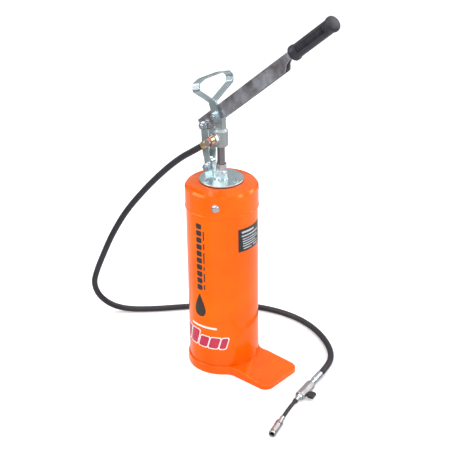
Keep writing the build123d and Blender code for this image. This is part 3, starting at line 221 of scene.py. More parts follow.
def film_finish(name, tone, other_tone, edge_wear_and_highlight_tone, drift, skin, gloss, haze, skin_depth, edge_radius, values):
    """A finish that drifts between two tones, has a fine skin, and mixes a lighter tone onto its edges:
    painted edge highlight, broken up by noise like wear.
    """
    finish, tree, shader = new_finish(name, values)
    coat = add_node(tree, "ShaderNodeGroup", node_tree=film)
    edge = add_node(tree, "ShaderNodeGroup", node_tree=eased)
    for label, value in {"Tone": tone, "Other Tone": other_tone, "Drift Scale": drift, "Skin Scale": skin,
                         "Gloss": gloss, "Haze": haze}.items():
        coat.inputs[label].default_value = value
    edge.inputs["Radius"].default_value = edge_radius
    # The lighter edge tone is painted highlight on the edges, broken up by noise like wear.
    edge_wear_and_highlight = add_node(tree, "ShaderNodeMix", {
        0: edge.outputs["Edge"], 6: coat.outputs["Tone"], 7: edge_wear_and_highlight_tone}, data_type="RGBA")
    bump = add_node(tree, "ShaderNodeBump", {
        "Height": coat.outputs["Height"], "Normal": edge.outputs["Normal"], "Distance": skin_depth,
        "Strength": 1.0})
    tree.links.new(edge_wear_and_highlight.outputs[2], shader.inputs["Base Color"])
    tree.links.new(coat.outputs["Roughness"], shader.inputs["Roughness"])
    tree.links.new(bump.outputs["Normal"], shader.inputs["Normal"])
    return finish


def give_finish(finish, *names):
    """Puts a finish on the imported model's own pieces."""
    for name in names:
        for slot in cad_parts[name].material_slots:
            slot.material = finish


enamel = film_finish(
    "orange_enamel", tone=enamel_orange, other_tone=enamel_shade, edge_wear_and_highlight_tone=(0.98, 0.24, 0.03, 1.0),
    drift=9.0, skin=420.0, gloss=0.09, haze=0.16, skin_depth=0.00003, edge_radius=0.0009,
    values={"Coat Weight": 0.22, "Coat Roughness": 0.03, "Specular IOR Level": 0.75,
            "Specular Tint": (1.0, 0.5, 0.2, 1.0)})
give_finish(enamel, "foot_base")

# ---- Tank ---------------------------------------------------------------------------------------
# A welded tube, 140 mm across, with a dished bottom let into it; it holds the gear oil.
# Self-adhesive film is stuck on its front: a dark column of blocks, a drop, a white line and a band.
tank_radius = 0.070
film_gap = 0.00003
film_thickness = 0.00012
give_finish(enamel, "tank_shell", "tank_bottom")


def rounded_rows(width, height, corner, arc, level, lean=0.0):
    """Rows of a round-cornered patch: its height on the tank, and the arc lengths where the row ends."""
    corner_steps = 5
    rises = [pi / 2 * step / corner_steps for step in range(corner_steps + 1)]
    ends = [(-height / 2 + corner * (1 - cos(r)), corner * (1 - sin(r))) for r in rises]
    rows = ends + [(-z, inset) for z, inset in reversed(ends)]
    return [(level + z, arc - width / 2 + inset + lean * z, arc + width / 2 - inset + lean * z)
            for z, inset in rows]


def drop_rows(width, height, arc, level):
    """Rows of an oil drop with its point up."""
    steps = 28
    rows = []
    for step in range(steps + 1):
        climb = step / steps
        half = width / 2 * (sin(pi * climb ** 0.62)) ** 0.9 * (1 - 0.35 * climb) * 1.18
        rows.append((level - height / 2 + height * climb, arc - half - 0.00005, arc + half + 0.00005))
    return rows


def wrapped_film(name, patches, radius, finish, column=0.0015):
    """Thin adhesive film wrapped round the tank; arcs are measured from the -Y side."""
    points, faces = [], []
    for rows in patches:
        widest = max(end - start for _, start, end in rows)
        columns = max(2, int(widest / column) + 1)
        first = len(points)
        for level, start, end in rows:
            for step in range(columns + 1):
                turn = (start + (end - start) * step / columns) / radius - pi / 2
                points.append((radius * cos(turn), radius * sin(turn), level))
        for row in range(len(rows) - 1):
            for step in range(columns):
                low = first + row * (columns + 1) + step
                faces.append((low, low + 1, low + columns + 2, low + columns + 1))
    piece = mesh_piece(name, points, faces, finish)
    thickness = piece.modifiers.new("thickness", "SOLIDIFY")
    thickness.thickness = film_thickness
    thickness.offset = 1.0
    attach(piece, "tank")
    return piece


dark_vinyl = film_finish(
    "dark_vinyl", tone=(0.035, 0.022, 0.018, 1.0), other_tone=(0.05, 0.03, 0.022, 1.0),
    edge_wear_and_highlight_tone=(0.08, 0.05, 0.04, 1.0),
    drift=30.0, skin=900.0, gloss=0.26, haze=0.36, skin_depth=0.00002, edge_radius=0.0001,
    values={"Coat Weight": 0.4})
white_vinyl = film_finish(
    "white_vinyl", tone=(0.9, 0.89, 0.87, 1.0), other_tone=(0.84, 0.82, 0.8, 1.0),
    edge_wear_and_highlight_tone=(0.95, 0.95, 0.95, 1.0),
    drift=30.0, skin=900.0, gloss=0.26, haze=0.36, skin_depth=0.00002, edge_radius=0.0001,
    values={"Coat Weight": 0.4})
magenta_vinyl = film_finish(
    "magenta_vinyl", tone=(0.6, 0.02, 0.06, 1.0), other_tone=(0.5, 0.014, 0.08, 1.0),
    edge_wear_and_highlight_tone=(0.85, 0.06, 0.14, 1.0),
    drift=30.0, skin=900.0, gloss=0.26, haze=0.36, skin_depth=0.00002, edge_radius=0.0001,
    values={"Coat Weight": 0.4})

block_count = 10
block_low = 0.1915
block_height = 0.0115
block_pitch = 0.0147
column_blocks = [rounded_rows(width=0.0135, height=block_height, corner=0.003, arc=-0.001,
                              level=block_low + block_pitch * row) for row in range(block_count)]
column_drop = [drop_rows(width=0.026, height=0.052, arc=-0.002, level=0.151)]
side_column = wrapped_film("side_column", column_blocks + column_drop, tank_radius + film_gap, dark_vinyl)
dash_lengths = (0.011, 0.019, 0.008, 0.024, 0.013, 0.02)
dash_gap = 0.0065
dash_level = 0.188
side_dashes = []
for dash_length in dash_lengths:
    side_dashes.append(rounded_rows(width=0.0028, height=dash_length, corner=0.0012, arc=0.0105,
                                    level=dash_level + dash_length / 2))
    dash_level += dash_length + dash_gap
side_line = wrapped_film("side_line", side_dashes, tank_radius + film_gap, dark_vinyl)

band_lean = 0.28
band_corner = 0.004
band_border = 0.0022
white_patches = [rounded_rows(width=0.062, height=0.0042, corner=0.002, arc=0.004, level=0.1035)]
magenta_patches = []
for band_start, band_width, band_level, band_height in (
        (-0.056, 0.022, 0.0755, 0.034), (-0.030, 0.022, 0.0755, 0.034), (-0.004, 0.020, 0.0705, 0.024),
        (0.019, 0.020, 0.0705, 0.024), (0.042, 0.013, 0.0705, 0.024)):
    band_middle = band_start + band_width / 2
    white_patches.append(rounded_rows(
        band_width + 2 * band_border, band_height + 2 * band_border, band_corner + 0.0012, band_middle,
        band_level, band_lean))
    magenta_patches.append(rounded_rows(
        band_width, band_height, band_corner, band_middle, band_level, band_lean))
front_white = wrapped_film("front_white", white_patches, tank_radius + film_gap, white_vinyl)
front_magenta = wrapped_film("front_magenta", magenta_patches, tank_radius + film_gap + film_thickness,
                             magenta_vinyl)

# ---- Cap ----------------------------------------------------------------------------------------
# A pressed lid that slides over the tank's rim onto a rubber ring, enamelled like the tank.
# Three bright zinc cross-head screws go through its skirt and the tank into welded nuts.
zinc_white = (0.76, 0.8, 0.83, 1.0)
zinc_blue = (0.52, 0.63, 0.68, 1.0)
# The lighter zinc below is a painted highlight for the zinc's edges.
zinc_edge_highlight = (0.86, 0.88, 0.9, 1.0)
bright_zinc = film_finish(
    "bright_zinc", tone=zinc_white, other_tone=zinc_blue, edge_wear_and_highlight_tone=zinc_edge_highlight,
    drift=70.0, skin=1900.0, gloss=0.2, haze=0.32, skin_depth=0.00001, edge_radius=0.0004,
    values={"Metallic": 1.0})
nitrile = film_finish(
    "nitrile_rubber", tone=(0.018, 0.018, 0.019, 1.0), other_tone=(0.028, 0.027, 0.027, 1.0),
    edge_wear_and_highlight_tone=(0.05, 0.05, 0.05, 1.0),
    drift=60.0, skin=1500.0, gloss=0.5, haze=0.68, skin_depth=0.00004, edge_radius=0.0003,
    values={})
give_finish(enamel, "tank_cap")
give_finish(nitrile, "cap_seal")
give_finish(bright_zinc, "cap_screws", "inner_nuts")
cap_skin = 0.0716
screw_level = 0.369
cap_screw_turns = [radians(turn) for turn in (-60.0, 60.0, 180.0)]
crown_radius = 0.0050
crown_rise = 0.0045
crown_step = 0.00025
crown_swell = 0.00003
head_rows = [(0.0082, 0.0), (0.0082, 0.0009), (0.0078, 0.0012), (0.0070, 0.0012), (0.0068, 0.0018),
             (0.0067, 0.0030), (0.0060, 0.0040), (crown_radius, crown_rise)]
cross_reach = 0.0034
cross_half = 0.0008
cross_depth = 0.0008


def screw_heads(name, turns, finish):
    """Pan heads on plain washers, each with a cross sunk in its crown."""
    spokes = 72
    inner_rows = [(crown_radius - crown_step * step, crown_rise + crown_swell * step)
                  for step in range(1, 20)]
    points, faces = [], []
    for turn in turns:
        outward = Vector((cos(turn), sin(turn), 0))
        beside = Vector((-sin(turn), cos(turn), 0))
        first = len(points)
        for reach, rise in head_rows + inner_rows:
            for spoke in range(spokes):
                across, up = reach * cos(2 * pi * spoke / spokes), reach * sin(2 * pi * spoke / spokes)
                sunk = reach < cross_reach and min(abs(across), abs(up)) < cross_half
                height = cap_skin + rise - cross_depth * sunk
                points.append(outward * height + beside * across + Vector((0, 0, screw_level + up)))
        rows = len(head_rows + inner_rows)
        for row in range(rows - 1):
            for spoke in range(spokes):
                low, next_low = first + row * spokes + spoke, first + row * spokes + (spoke + 1) % spokes
                faces.append((low, next_low, next_low + spokes, low + spokes))
        faces.append(tuple(first + (rows - 1) * spokes + spoke for spoke in range(spokes)))
        faces.append(tuple(first + spoke for spoke in reversed(range(spokes))))
    return mesh_piece(name, points, faces, finish)


cap_screw_heads = screw_heads("cap_screw_heads", cap_screw_turns, bright_zinc)
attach(cap_screw_heads, "tank")

# ---- Data plate ---------------------------------------------------------------------------------
# A rectangle of black polyester film with its print in pale grey, stuck on the +X side below the lid.
# Plain light bars stand where a maker would print its lines.
plate_outer = 0.07052
plate_centre_arc = radians(92.0) * plate_outer
plate_film = film_finish(
    "plate_film", tone=(0.012, 0.012, 0.014, 1.0), other_tone=(0.02, 0.02, 0.023, 1.0),
    edge_wear_and_highlight_tone=(0.06, 0.06, 0.07, 1.0),
    drift=40.0, skin=1400.0, gloss=0.3, haze=0.42, skin_depth=0.00003, edge_radius=0.0003,
    values={"Coat Weight": 0.3})
plate_print = film_finish(
    "plate_print", tone=(0.55, 0.58, 0.62, 1.0), other_tone=(0.42, 0.45, 0.5, 1.0),
    edge_wear_and_highlight_tone=(0.7, 0.7, 0.72, 1.0),
    drift=120.0, skin=1400.0, gloss=0.35, haze=0.45, skin_depth=0.00002, edge_radius=0.0001,
    values={})
give_finish(plate_film, "data_plate")
plate_lines = [
    (-0.008, 0.3118, 0.034, 0.0042), (0.0, 0.3038, 0.05, 0.0030), (-0.002, 0.2972, 0.042, 0.0019),
    (0.001, 0.2922, 0.048, 0.0019), (-0.004, 0.2872, 0.036, 0.0019), (0.0, 0.2822, 0.046, 0.0019),
    (-0.010, 0.2766, 0.022, 0.0022), (0.014, 0.2766, 0.016, 0.0022),
]
plate_bars = wrapped_film("plate_bars", [
    rounded_rows(width, height, height * 0.3, plate_centre_arc + shift, level)
    for shift, level, width, height in plate_lines], plate_outer + film_gap, plate_print)

# ---- Pump in the lid ----------------------------------------------------------------------------
# A turned steel flange on a gasket, held by three screws, with a welded lug for the links' bolt.
# The gland body and its nut are machined from hexagon bar; everything is zinc plated.
plate_zinc = film_finish(
    "plate_zinc", tone=(0.74, 0.81, 0.83, 1.0), other_tone=(0.5, 0.64, 0.69, 1.0), edge_wear_and_highlight_tone=zinc_edge_highlight,
    drift=38.0, skin=1600.0, gloss=0.24, haze=0.36, skin_depth=0.00001, edge_radius=0.0005,
    values={"Metallic": 1.0})
turned_zinc = film_finish(
    "turned_zinc", tone=(0.76, 0.8, 0.82, 1.0), other_tone=(0.56, 0.64, 0.68, 1.0), edge_wear_and_highlight_tone=zinc_edge_highlight,
    drift=90.0, skin=1800.0, gloss=0.24, haze=0.36, skin_depth=0.00001, edge_radius=0.0004,
    values={"Metallic": 1.0})
give_finish(nitrile, "flange_gasket", "rod_seals")
give_finish(plate_zinc, "pump_flange", "pivot_lug")
give_finish(bright_zinc, "flange_screws")
give_finish(turned_zinc, "gland_body", "gland_nut")

# ---- Cylinder and valves ------------------------------------------------------------------------
# A drawn steel tube hangs from the gland into the oil, with a ball foot valve and a sheet strainer below.
# The piston slides in it on a rubber seal and carries the second ball, both ground and hardened.
drawn_steel = film_finish(
    "drawn_steel", tone=(0.36, 0.36, 0.37, 1.0), other_tone=(0.25, 0.25, 0.26, 1.0),
    edge_wear_and_highlight_tone=(0.5, 0.5, 0.5, 1.0),
    drift=35.0, skin=1700.0, gloss=0.3, haze=0.45, skin_depth=0.00003, edge_radius=0.0004,
    values={"Metallic": 1.0})
ball_steel = film_finish(
    "ball_steel", tone=(0.6, 0.6, 0.61, 1.0), other_tone=(0.5, 0.5, 0.52, 1.0),
    edge_wear_and_highlight_tone=(0.7, 0.7, 0.7, 1.0),
    drift=60.0, skin=2500.0, gloss=0.08, haze=0.14, skin_depth=0.00001, edge_radius=0.0002,
    values={"Metallic": 1.0})
give_finish(drawn_steel, "pump_cylinder", "foot_valve_body", "suction_strainer", "piston_body")
give_finish(ball_steel, "foot_valve_ball", "foot_stop_pin", "piston_ball")
give_finish(nitrile, "piston_seal")

# ---- Rod ----------------------------------------------------------------------------------------
# A hollow plunger rod of ground and polished bar, screwed into the head and the piston.
# The oil climbs through it; fine grinding lines run round it.
rod_finish, rod_tree, rod_shader = new_finish("ground_rod", {"Metallic": 1.0})
rod_place = add_node(rod_tree, "ShaderNodeTexCoord")
rod_stretch = add_node(rod_tree, "ShaderNodeMapping", {
    "Vector": rod_place.outputs["Object"], "Scale": (60.0, 60.0, 5200.0)})
rod_lines = add_node(rod_tree, "ShaderNodeTexNoise", {
    "Vector": rod_stretch.outputs["Vector"], "Scale": 1.0, "Detail": 2.0})
rod_cloud = add_node(rod_tree, "ShaderNodeTexNoise", {
    "Vector": rod_place.outputs["Object"], "Scale": 55.0, "Detail": 3.0})
rod_tone = add_node(rod_tree, "ShaderNodeMix", {
    0: rod_cloud.outputs["Fac"], 6: (0.24, 0.21, 0.22, 1.0), 7: (0.34, 0.31, 0.32, 1.0)}, data_type="RGBA")
rod_rough = add_node(rod_tree, "ShaderNodeMapRange", {
    "Value": rod_lines.outputs["Fac"], "To Min": 0.1, "To Max": 0.24})
rod_bump = add_node(rod_tree, "ShaderNodeBump", {
    "Height": rod_lines.outputs["Fac"], "Distance": 0.000006, "Strength": 1.0})
rod_tree.links.new(rod_tone.outputs[2], rod_shader.inputs["Base Color"])
rod_tree.links.new(rod_rough.outputs["Result"], rod_shader.inputs["Roughness"])
rod_tree.links.new(rod_bump.outputs["Normal"], rod_shader.inputs["Normal"])
give_finish(rod_finish, "plunger_rod")

# ---- Head ---------------------------------------------------------------------------------------
# An iron casting on top of the rod, zinc plated over its sandy skin, with a boss for the outlet.
# The hose's banjo eye sits on it between two soft copper washers, held by a hollow hexagon bolt.
cast_finish, cast_tree, cast_shader = new_finish("plated_casting", {"Metallic": 0.85})
cast_place = add_node(cast_tree, "ShaderNodeTexCoord")
cast_sand = add_node(cast_tree, "ShaderNodeTexNoise", {
    "Vector": cast_place.outputs["Object"], "Scale": 750.0, "Detail": 5.0, "Roughness": 0.6})
cast_lumps = add_node(cast_tree, "ShaderNodeTexNoise", {
    "Vector": cast_place.outputs["Object"], "Scale": 160.0, "Detail": 3.0})
cast_pits = add_node(cast_tree, "ShaderNodeTexVoronoi", {
    "Vector": cast_place.outputs["Object"], "Scale": 900.0})
cast_skin = add_node(cast_tree, "ShaderNodeMath", {
    0: cast_sand.outputs["Fac"], 1: cast_lumps.outputs["Fac"]}, operation="ADD")
cast_depth = add_node(cast_tree, "ShaderNodeMath", {
    0: cast_pits.outputs["Distance"], 1: 0.35, 2: cast_skin.outputs["Value"]}, operation="MULTIPLY_ADD")
cast_tone = add_node(cast_tree, "ShaderNodeMix", {
    0: cast_lumps.outputs["Fac"], 6: (0.38, 0.42, 0.44, 1.0), 7: (0.56, 0.6, 0.61, 1.0)}, data_type="RGBA")
cast_rough = add_node(cast_tree, "ShaderNodeMapRange", {
    "Value": cast_sand.outputs["Fac"], "To Min": 0.32, "To Max": 0.58})
cast_edge = add_node(cast_tree, "ShaderNodeGroup", node_tree=eased)
cast_edge.inputs["Radius"].default_value = 0.0009
cast_bump = add_node(cast_tree, "ShaderNodeBump", {
    "Height": cast_depth.outputs["Value"], "Normal": cast_edge.outputs["Normal"], "Distance": 0.00022,
    "Strength": 1.0})
cast_tree.links.new(cast_tone.outputs[2], cast_shader.inputs["Base Color"])
cast_tree.links.new(cast_rough.outputs["Result"], cast_shader.inputs["Roughness"])
cast_tree.links.new(cast_bump.outputs["Normal"], cast_shader.inputs["Normal"])
give_finish(cast_finish, "head_block")

copper = film_finish(
    "soft_copper", tone=(0.78, 0.2, 0.12, 1.0), other_tone=(0.62, 0.13, 0.09, 1.0),
    edge_wear_and_highlight_tone=(0.9, 0.4, 0.28, 1.0),
    drift=130.0, skin=1800.0, gloss=0.26, haze=0.42, skin_depth=0.00004, edge_radius=0.0003,
    values={"Metallic": 0.9})
brass = film_finish(
    "passivated_brass", tone=(0.84, 0.72, 0.47, 1.0), other_tone=(0.76, 0.6, 0.35, 1.0),
    edge_wear_and_highlight_tone=(0.92, 0.82, 0.58, 1.0),
    drift=90.0, skin=1900.0, gloss=0.2, haze=0.34, skin_depth=0.00003, edge_radius=0.0004,
    values={"Metallic": 1.0})
give_finish(copper, "banjo_washers")
give_finish(brass, "banjo_eye", "head_ferrule")
give_finish(turned_zinc, "outlet_adapter", "banjo_bolt")

# ---- Links and bolts ----------------------------------------------------------------------------
# Two joggled links of flat steel bar stand on the lug and carry the lever, zinc plated.
# M8 hexagon bolts with washers and nuts join them, and one more goes through the lever and the head.
give_finish(plate_zinc, "near_link", "far_link")
for cross_bolt in ("lug", "fulcrum", "head"):
    give_finish(bright_zinc, cross_bolt + "_bolt", cross_bolt + "_nut", cross_bolt + "_washers")

# ---- Lever --------------------------------------------------------------------------------------
# A channel folded from 2 mm steel sheet, open below, drawn in to a tang for the grip.
# Its zinc plating is cloudy, bright in places and dark in others.
lever_zinc = film_finish(
    "lever_zinc", tone=(0.74, 0.77, 0.85, 1.0), other_tone=(0.24, 0.21, 0.22, 1.0), edge_wear_and_highlight_tone=zinc_edge_highlight,
    drift=30.0, skin=2100.0, gloss=0.14, haze=0.26, skin_depth=0.00001, edge_radius=0.0005,
    values={"Metallic": 0.85})
give_finish(lever_zinc, "lever_channel")

# ---- Grip ---------------------------------------------------------------------------------------
# Soft black vinyl pushed over the tang, with a flared collar at each end.
# A recessed strip on either side has small moulded ribs across it.
lever_slope = radians(40.2)
lever_along = Vector((cos(lever_slope), 0, sin(lever_slope)))
lever_up = Vector((-sin(lever_slope), 0, cos(lever_slope)))
head_pivot = Vector((0, 0, 0.533))
grip_start = head_pivot + lever_along * 0.229 + lever_up * 0.008
grip_profile = [(0.0, 0.0122), (0.0006, 0.0138), (0.0018, 0.0147), (0.0035, 0.0149), (0.0065, 0.0149),
                (0.0085, 0.0144), (0.0110, 0.0135), (0.0135, 0.0131), (0.1000, 0.0131), (0.1030, 0.0137),
                (0.1055, 0.0146), (0.1080, 0.0149), (0.1105, 0.0146), (0.1125, 0.0135), (0.1140, 0.0108)]
strip_from = 0.018
strip_to = 0.095
strip_half_turn = radians(33.0)
strip_edge = 0.001
strip_depth = 0.0026
rib_height = 0.0018
rib_pitch = 0.0033


def profile_radius(profile, station):
    """Reads a turned profile between its corners."""
    for (low, low_radius), (high, high_radius) in zip(profile, profile[1:]):
        if station <= high:
            return low_radius + (high_radius - low_radius) * (station - low) / (high - low)
    return profile[-1][1]


def soft_step(value, start, end):
    """Rises smoothly from 0 at start to 1 at end."""
    t = min(1.0, max(0.0, (value - start) / (end - start)))
    return t * t * (3 - 2 * t)


def grip_radius(station, turn):
    """The grip's skin: its collars, and the ribs sunk in a strip on both sides."""
    off_strip = min(abs(turn - pi / 2), abs(turn - 3 * pi / 2))
    strip = 1 - soft_step(off_strip, strip_half_turn * 0.8, strip_half_turn)
    strip *= soft_step(station, strip_from, strip_from + strip_edge)
    strip *= 1 - soft_step(station, strip_to - strip_edge, strip_to)
    rib = (0.5 + 0.5 * cos(2 * pi * (station - strip_from) / rib_pitch)) ** 3
    return profile_radius(grip_profile, station) - strip * (strip_depth - rib_height * rib)


def turned_skin(name, start, along, zero, stations, turns, radius_at, finish):
    """Mesh of a turned piece: radius_at(station, turn) is its skin's distance from the axis."""
    side = along.cross(zero)
    points, faces = [], []
    for station in stations:
        for step in range(turns):
            turn = 2 * pi * step / turns
            spoke = zero * cos(turn) + side * sin(turn)
            points.append(start + along * station + spoke * radius_at(station, turn))
    for ring in range(len(stations) - 1):
        for step in range(turns):
            low, next_low = ring * turns + step, ring * turns + (step + 1) % turns
            faces.append((low, next_low, next_low + turns, low + turns))
    faces.append(tuple(reversed(range(turns))))
    faces.append(tuple(range(len(points) - turns, len(points))))
    return mesh_piece(name, points, faces, finish)


grip_vinyl = film_finish(
    "grip_vinyl", tone=(0.018, 0.017, 0.026, 1.0), other_tone=(0.03, 0.028, 0.042, 1.0),
    edge_wear_and_highlight_tone=(0.05, 0.05, 0.058, 1.0),
    drift=50.0, skin=1300.0, gloss=0.36, haze=0.5, skin_depth=0.00006, edge_radius=0.0004,
    values={"Specular IOR Level": 0.45})
strip_margin = 0.002
station_step = 0.00042
station_count = int((strip_to - strip_from + 2 * strip_margin) / station_step)
grip_stations = sorted([station for station, _ in grip_profile]
                       + [strip_from - strip_margin + station_step * step for step in range(station_count)])
lever_grip = turned_skin("vinyl_grip", grip_start, lever_along, lever_up, grip_stations, 108, grip_radius,
                         grip_vinyl)
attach(lever_grip, "lever")
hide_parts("lever_grip")

# ---- Carry handle -------------------------------------------------------------------------------
# A strip of flat steel bent into a leaning triangle and zinc plated.
# Its two ends are clamped together under the head bolt's nut.
give_finish(plate_zinc, "carry_handle")

# ---- Delivery hose ------------------------------------------------------------------------------
# 1.29 m of one-wire hydraulic hose, 12.4 mm outside, with a cloth-marked black rubber cover.
# It leaves the banjo eye sideways, falls behind the tank, and lies on the floor round to the valve.
hose_radius = 0.0062
hose_exit = (-0.009803, -0.03025, 0.480908)
hose_route = [
    hose_exit, (-0.038160, -0.03025, 0.460393), (-0.084, -0.025, 0.429), (-0.133, -0.025, 0.385),
    (-0.180, -0.031, 0.334), (-0.224, -0.039, 0.279), (-0.260, -0.047, 0.218), (-0.287, -0.052, 0.160),
    (-0.310, -0.050, 0.116), (-0.326, -0.046, 0.079), (-0.323, -0.035, 0.044), (-0.306, -0.014, 0.017),
    (-0.278, 0.010, 0.0064), (-0.235, 0.045, 0.0064), (-0.188, 0.095, 0.0064), (-0.141, 0.142, 0.0064),
    (-0.090, 0.180, 0.0064), (-0.029, 0.203, 0.0064), (0.037, 0.207, 0.0064), (0.097, 0.190, 0.0064),
    (0.151, 0.157, 0.0064), (0.185, 0.120, 0.0064), (0.201369, 0.073698, 0.0096),
    (0.209291, 0.026357, 0.0096),
]


def hose_curve(name, route):
    """A hose's line: one smooth NURBS spline with the route's points as its control points."""
    line = bpy.data.curves.new(name, "CURVE")
    line.dimensions = "3D"
    line.resolution_u = 20
    spline = line.splines.new("NURBS")
    spline.points.add(len(route) - 1)
    for point, place in zip(spline.points, route):
        point.co = (*place, 1.0)
    spline.order_u = 3
    spline.use_endpoint_u = True
    return bpy.data.objects.new(name, line)


def hose_skin(name, points, radius, finish):
    """A round tube along a line, with the turn and the run in metres kept as its UV map."""
    turns = 32
    skin, faces, runs = [], [], [0.0]
    for before, after in zip(points, points[1:]):
        runs.append(runs[-1] + (after - before).length)
    spoke = Vector((0, 0, 1)).cross(points[1] - points[0]).normalized()
    for number, point in enumerate(points):
        ahead = points[min(number + 1, len(points) - 1)] - points[max(number - 1, 0)]
        ahead.normalize()
        spoke = (spoke - ahead * spoke.dot(ahead)).normalized()
        side = ahead.cross(spoke)
        skin += [point + (spoke * cos(2 * pi * s / turns) + side * sin(2 * pi * s / turns)) * radius
                 for s in range(turns)]
    for ring in range(len(points) - 1):
        for s in range(turns):
            low, next_low = ring * turns + s, ring * turns + (s + 1) % turns
            faces.append((low, next_low, next_low + turns, low + turns))
    faces.append(tuple(reversed(range(turns))))
    faces.append(tuple(range(len(skin) - turns, len(skin))))
    piece = mesh_piece(name, skin, faces, finish)
    unrolled = piece.data.uv_layers.new(name="unrolled")
    for face in piece.data.polygons:
        seam = any(piece.data.loops[k].vertex_index % turns == turns - 1 for k in face.loop_indices)
        for corner in face.loop_indices:
            vertex = piece.data.loops[corner].vertex_index
            turn = vertex % turns
            turn = turns if seam and turn == 0 else turn
            unrolled.data[corner].uv = (turn / turns, runs[vertex // turns])
    return piece


hose_rubber, rubber_tree, rubber_shader = new_finish("hose_rubber", {"Specular IOR Level": 0.5})
rubber_uv = add_node(rubber_tree, "ShaderNodeUVMap", uv_map="unrolled")
rubber_place = add_node(rubber_tree, "ShaderNodeTexCoord")
rubber_stretch = add_node(rubber_tree, "ShaderNodeMapping", {
    "Vector": rubber_uv.outputs["UV"], "Scale": (1.0, 25.6, 1.0), "Rotation": (0.0, 0.0, radians(32.0))})
rubber_wrap = add_node(rubber_tree, "ShaderNodeTexWave", {
    "Vector": rubber_stretch.outputs["Vector"], "Scale": 9.0, "Distortion": 0.6, "Detail": 1.0})
rubber_grain = add_node(rubber_tree, "ShaderNodeTexNoise", {
    "Vector": rubber_place.outputs["Object"], "Scale": 900.0, "Detail": 3.0})
rubber_cloud = add_node(rubber_tree, "ShaderNodeTexNoise", {
    "Vector": rubber_place.outputs["Object"], "Scale": 28.0, "Detail": 4.0})
rubber_tone = add_node(rubber_tree, "ShaderNodeMix", {
    0: rubber_cloud.outputs["Fac"], 6: (0.010, 0.010, 0.014, 1.0), 7: (0.034, 0.032, 0.046, 1.0)},
    data_type="RGBA")
rubber_rough = add_node(rubber_tree, "ShaderNodeMapRange", {
    "Value": rubber_cloud.outputs["Fac"], "To Min": 0.34, "To Max": 0.52})
rubber_height = add_node(rubber_tree, "ShaderNodeMath", {
    0: rubber_wrap.outputs["Fac"], 1: 0.6, 2: rubber_grain.outputs["Fac"]}, operation="MULTIPLY_ADD")
rubber_bump = add_node(rubber_tree, "ShaderNodeBump", {
    "Height": rubber_height.outputs["Value"], "Distance": 0.00008, "Strength": 1.0})
rubber_tree.links.new(rubber_tone.outputs[2], rubber_shader.inputs["Base Color"])
rubber_tree.links.new(rubber_rough.outputs["Result"], rubber_shader.inputs["Roughness"])
rubber_tree.links.new(rubber_bump.outputs["Normal"], rubber_shader.inputs["Normal"])

hose_line = hose_curve("hose_line", hose_route)
hose_centre = [vertex.co.copy() for vertex in bpy.data.meshes.new_from_object(hose_line).vertices]
bpy.data.objects.remove(hose_line)
delivery_hose = hose_skin("rubber_hose", hose_centre, hose_radius, hose_rubber)
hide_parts("delivery_hose")
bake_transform(delivery_hose)

# ---- Hand valve ---------------------------------------------------------------------------------
# A nickel-plated ball valve of eight-sided bar between the crimped ferrule and the reducer nipple.
# Its butterfly knob is black nylon, held on the stem by a slotted screw.
nickel = film_finish(
    "dull_nickel", tone=(0.62, 0.59, 0.6, 1.0), other_tone=(0.46, 0.44, 0.45, 1.0),
    edge_wear_and_highlight_tone=(0.85, 0.84, 0.83, 1.0),
    drift=85.0, skin=2200.0, gloss=0.26, haze=0.4, skin_depth=0.00001, edge_radius=0.0005,
    values={"Metallic": 1.0})
nylon = film_finish(
    "moulded_nylon", tone=(0.016, 0.016, 0.017, 1.0), other_tone=(0.024, 0.024, 0.026, 1.0),
    edge_wear_and_highlight_tone=(0.06, 0.06, 0.062, 1.0),
    drift=70.0, skin=1600.0, gloss=0.34, haze=0.48, skin_depth=0.00005, edge_radius=0.0005,
    values={})
ptfe = film_finish(
    "ptfe_seat", tone=(0.86, 0.86, 0.84, 1.0), other_tone=(0.78, 0.78, 0.75, 1.0),
    edge_wear_and_highlight_tone=(0.92, 0.92, 0.9, 1.0),
    drift=80.0, skin=1200.0, gloss=0.38, haze=0.5, skin_depth=0.00003, edge_radius=0.0003,
    values={"Subsurface Weight": 0.15})
give_finish(turned_zinc, "valve_ferrule", "reducer_nipple")
give_finish(nickel, "valve_body")
give_finish(ball_steel, "valve_ball", "valve_stem")
give_finish(ptfe, "valve_seats")
give_finish(nylon, "valve_knob")
give_finish(bright_zinc, "knob_screw")

# ---- Whip hose ----------------------------------------------------------------------------------
# 76 mm of thin rubber whip hose between the valve's nipple and the coupler, lying on the floor.
# A rubber collar and a crimped steel ferrule hold its ends.
whip_exit = (0.221521, -0.046727, 0.0096)
whip_route = [whip_exit, (0.224492, -0.064480, 0.0096), (0.228592, -0.084080, 0.0088),
              (0.233592, -0.103480, 0.0078), (0.238855, -0.120694, 0.0078)]
whip_radius = 0.00375
whip_line = hose_curve("whip_line", whip_route)
whip_centre = [vertex.co.copy() for vertex in bpy.data.meshes.new_from_object(whip_line).vertices]
bpy.data.objects.remove(whip_line)
whip_hose = hose_skin("rubber_whip", whip_centre, whip_radius, hose_rubber)
give_finish(nitrile, "whip_collar")
give_finish(turned_zinc, "whip_ferrule")

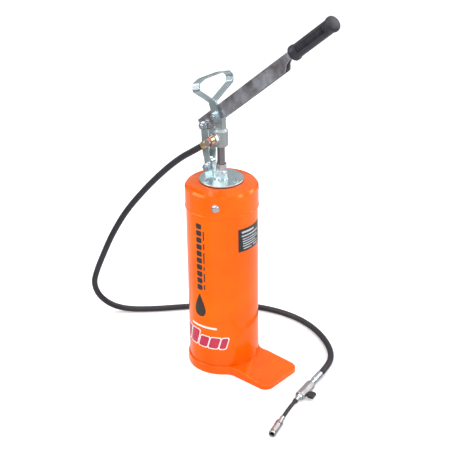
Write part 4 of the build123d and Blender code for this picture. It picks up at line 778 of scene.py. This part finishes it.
# ---- Coupler ------------------------------------------------------------------------------------
# A jaw coupler that snaps onto a hydraulic nipple: turned nickel-plated body, hardened jaws inside.
# Its sleeve is knurled all round so that an oily glove can turn it.
coupler_start = Vector((0.238855, -0.120694, 0.0078))
coupler_along = Vector((0.292372, -0.956305, 0.0))
sleeve_outside = [(0.0160, 0.0060), (0.0163, 0.0067), (0.0170, 0.0072), (0.0200, 0.0072), (0.0204, 0.0069),
                  (0.0430, 0.0069), (0.0434, 0.0072), (0.0468, 0.0072), (0.0480, 0.0068), (0.0490, 0.0062)]
sleeve_bore = [(0.0490, 0.0050), (0.0455, 0.0050), (0.0455, 0.0060)]
sleeve_waist = 0.0070
knurl_from = 0.0206
knurl_to = 0.0428
knurl_teeth = 30
knurl_depth = 0.0004
knurl_edge = 0.0006
knurl_step = 0.00024
knurl_rows = int((knurl_to - knurl_from) / knurl_step)


def sleeve_radius(station, turn):
    """The sleeve's skin, with a diamond knurl between its two plain collars."""
    across = turn * knurl_teeth
    run = (station - knurl_from) * knurl_teeth / sleeve_waist
    diamond = abs(sin((across + run) / 2)) * abs(sin((across - run) / 2))
    inside = soft_step(station, knurl_from, knurl_from + knurl_edge)
    inside *= 1 - soft_step(station, knurl_to - knurl_edge, knurl_to)
    return profile_radius(sleeve_outside, station) - inside * knurl_depth * (1 - diamond ** 0.6)


def sleeve_skin(name, finish):
    """The sleeve's outside, its rounded lip and its bore, closed into one ring."""
    turns = 180
    side = Vector((0, 0, 1))
    other = coupler_along.cross(side)
    outside = sorted([station for station, _ in sleeve_outside]
                     + [knurl_from + knurl_step * step for step in range(knurl_rows)])
    rings = [(station, None) for station in outside] + sleeve_bore
    points, faces = [], []
    for station, fixed in rings:
        for step in range(turns):
            turn = 2 * pi * step / turns
            reach = sleeve_radius(station, turn) if fixed is None else fixed
            spoke = side * cos(turn) + other * sin(turn)
            points.append(coupler_start + coupler_along * station + spoke * reach)
    for ring in range(len(rings)):
        ahead = (ring + 1) % len(rings) * turns
        for step in range(turns):
            beside = (step + 1) % turns
            faces.append((ring * turns + step, ahead + step, ahead + beside, ring * turns + beside))
    return mesh_piece(name, points, faces, finish)


give_finish(nickel, "coupler_body")
give_finish(drawn_steel, "coupler_jaws")
give_finish(nitrile, "coupler_seal")
knurled_sleeve = sleeve_skin("knurled_sleeve", nickel)
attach(knurled_sleeve, "tank")
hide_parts("coupler_sleeve")

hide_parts("whip_hose")
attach(whip_hose, "tank")
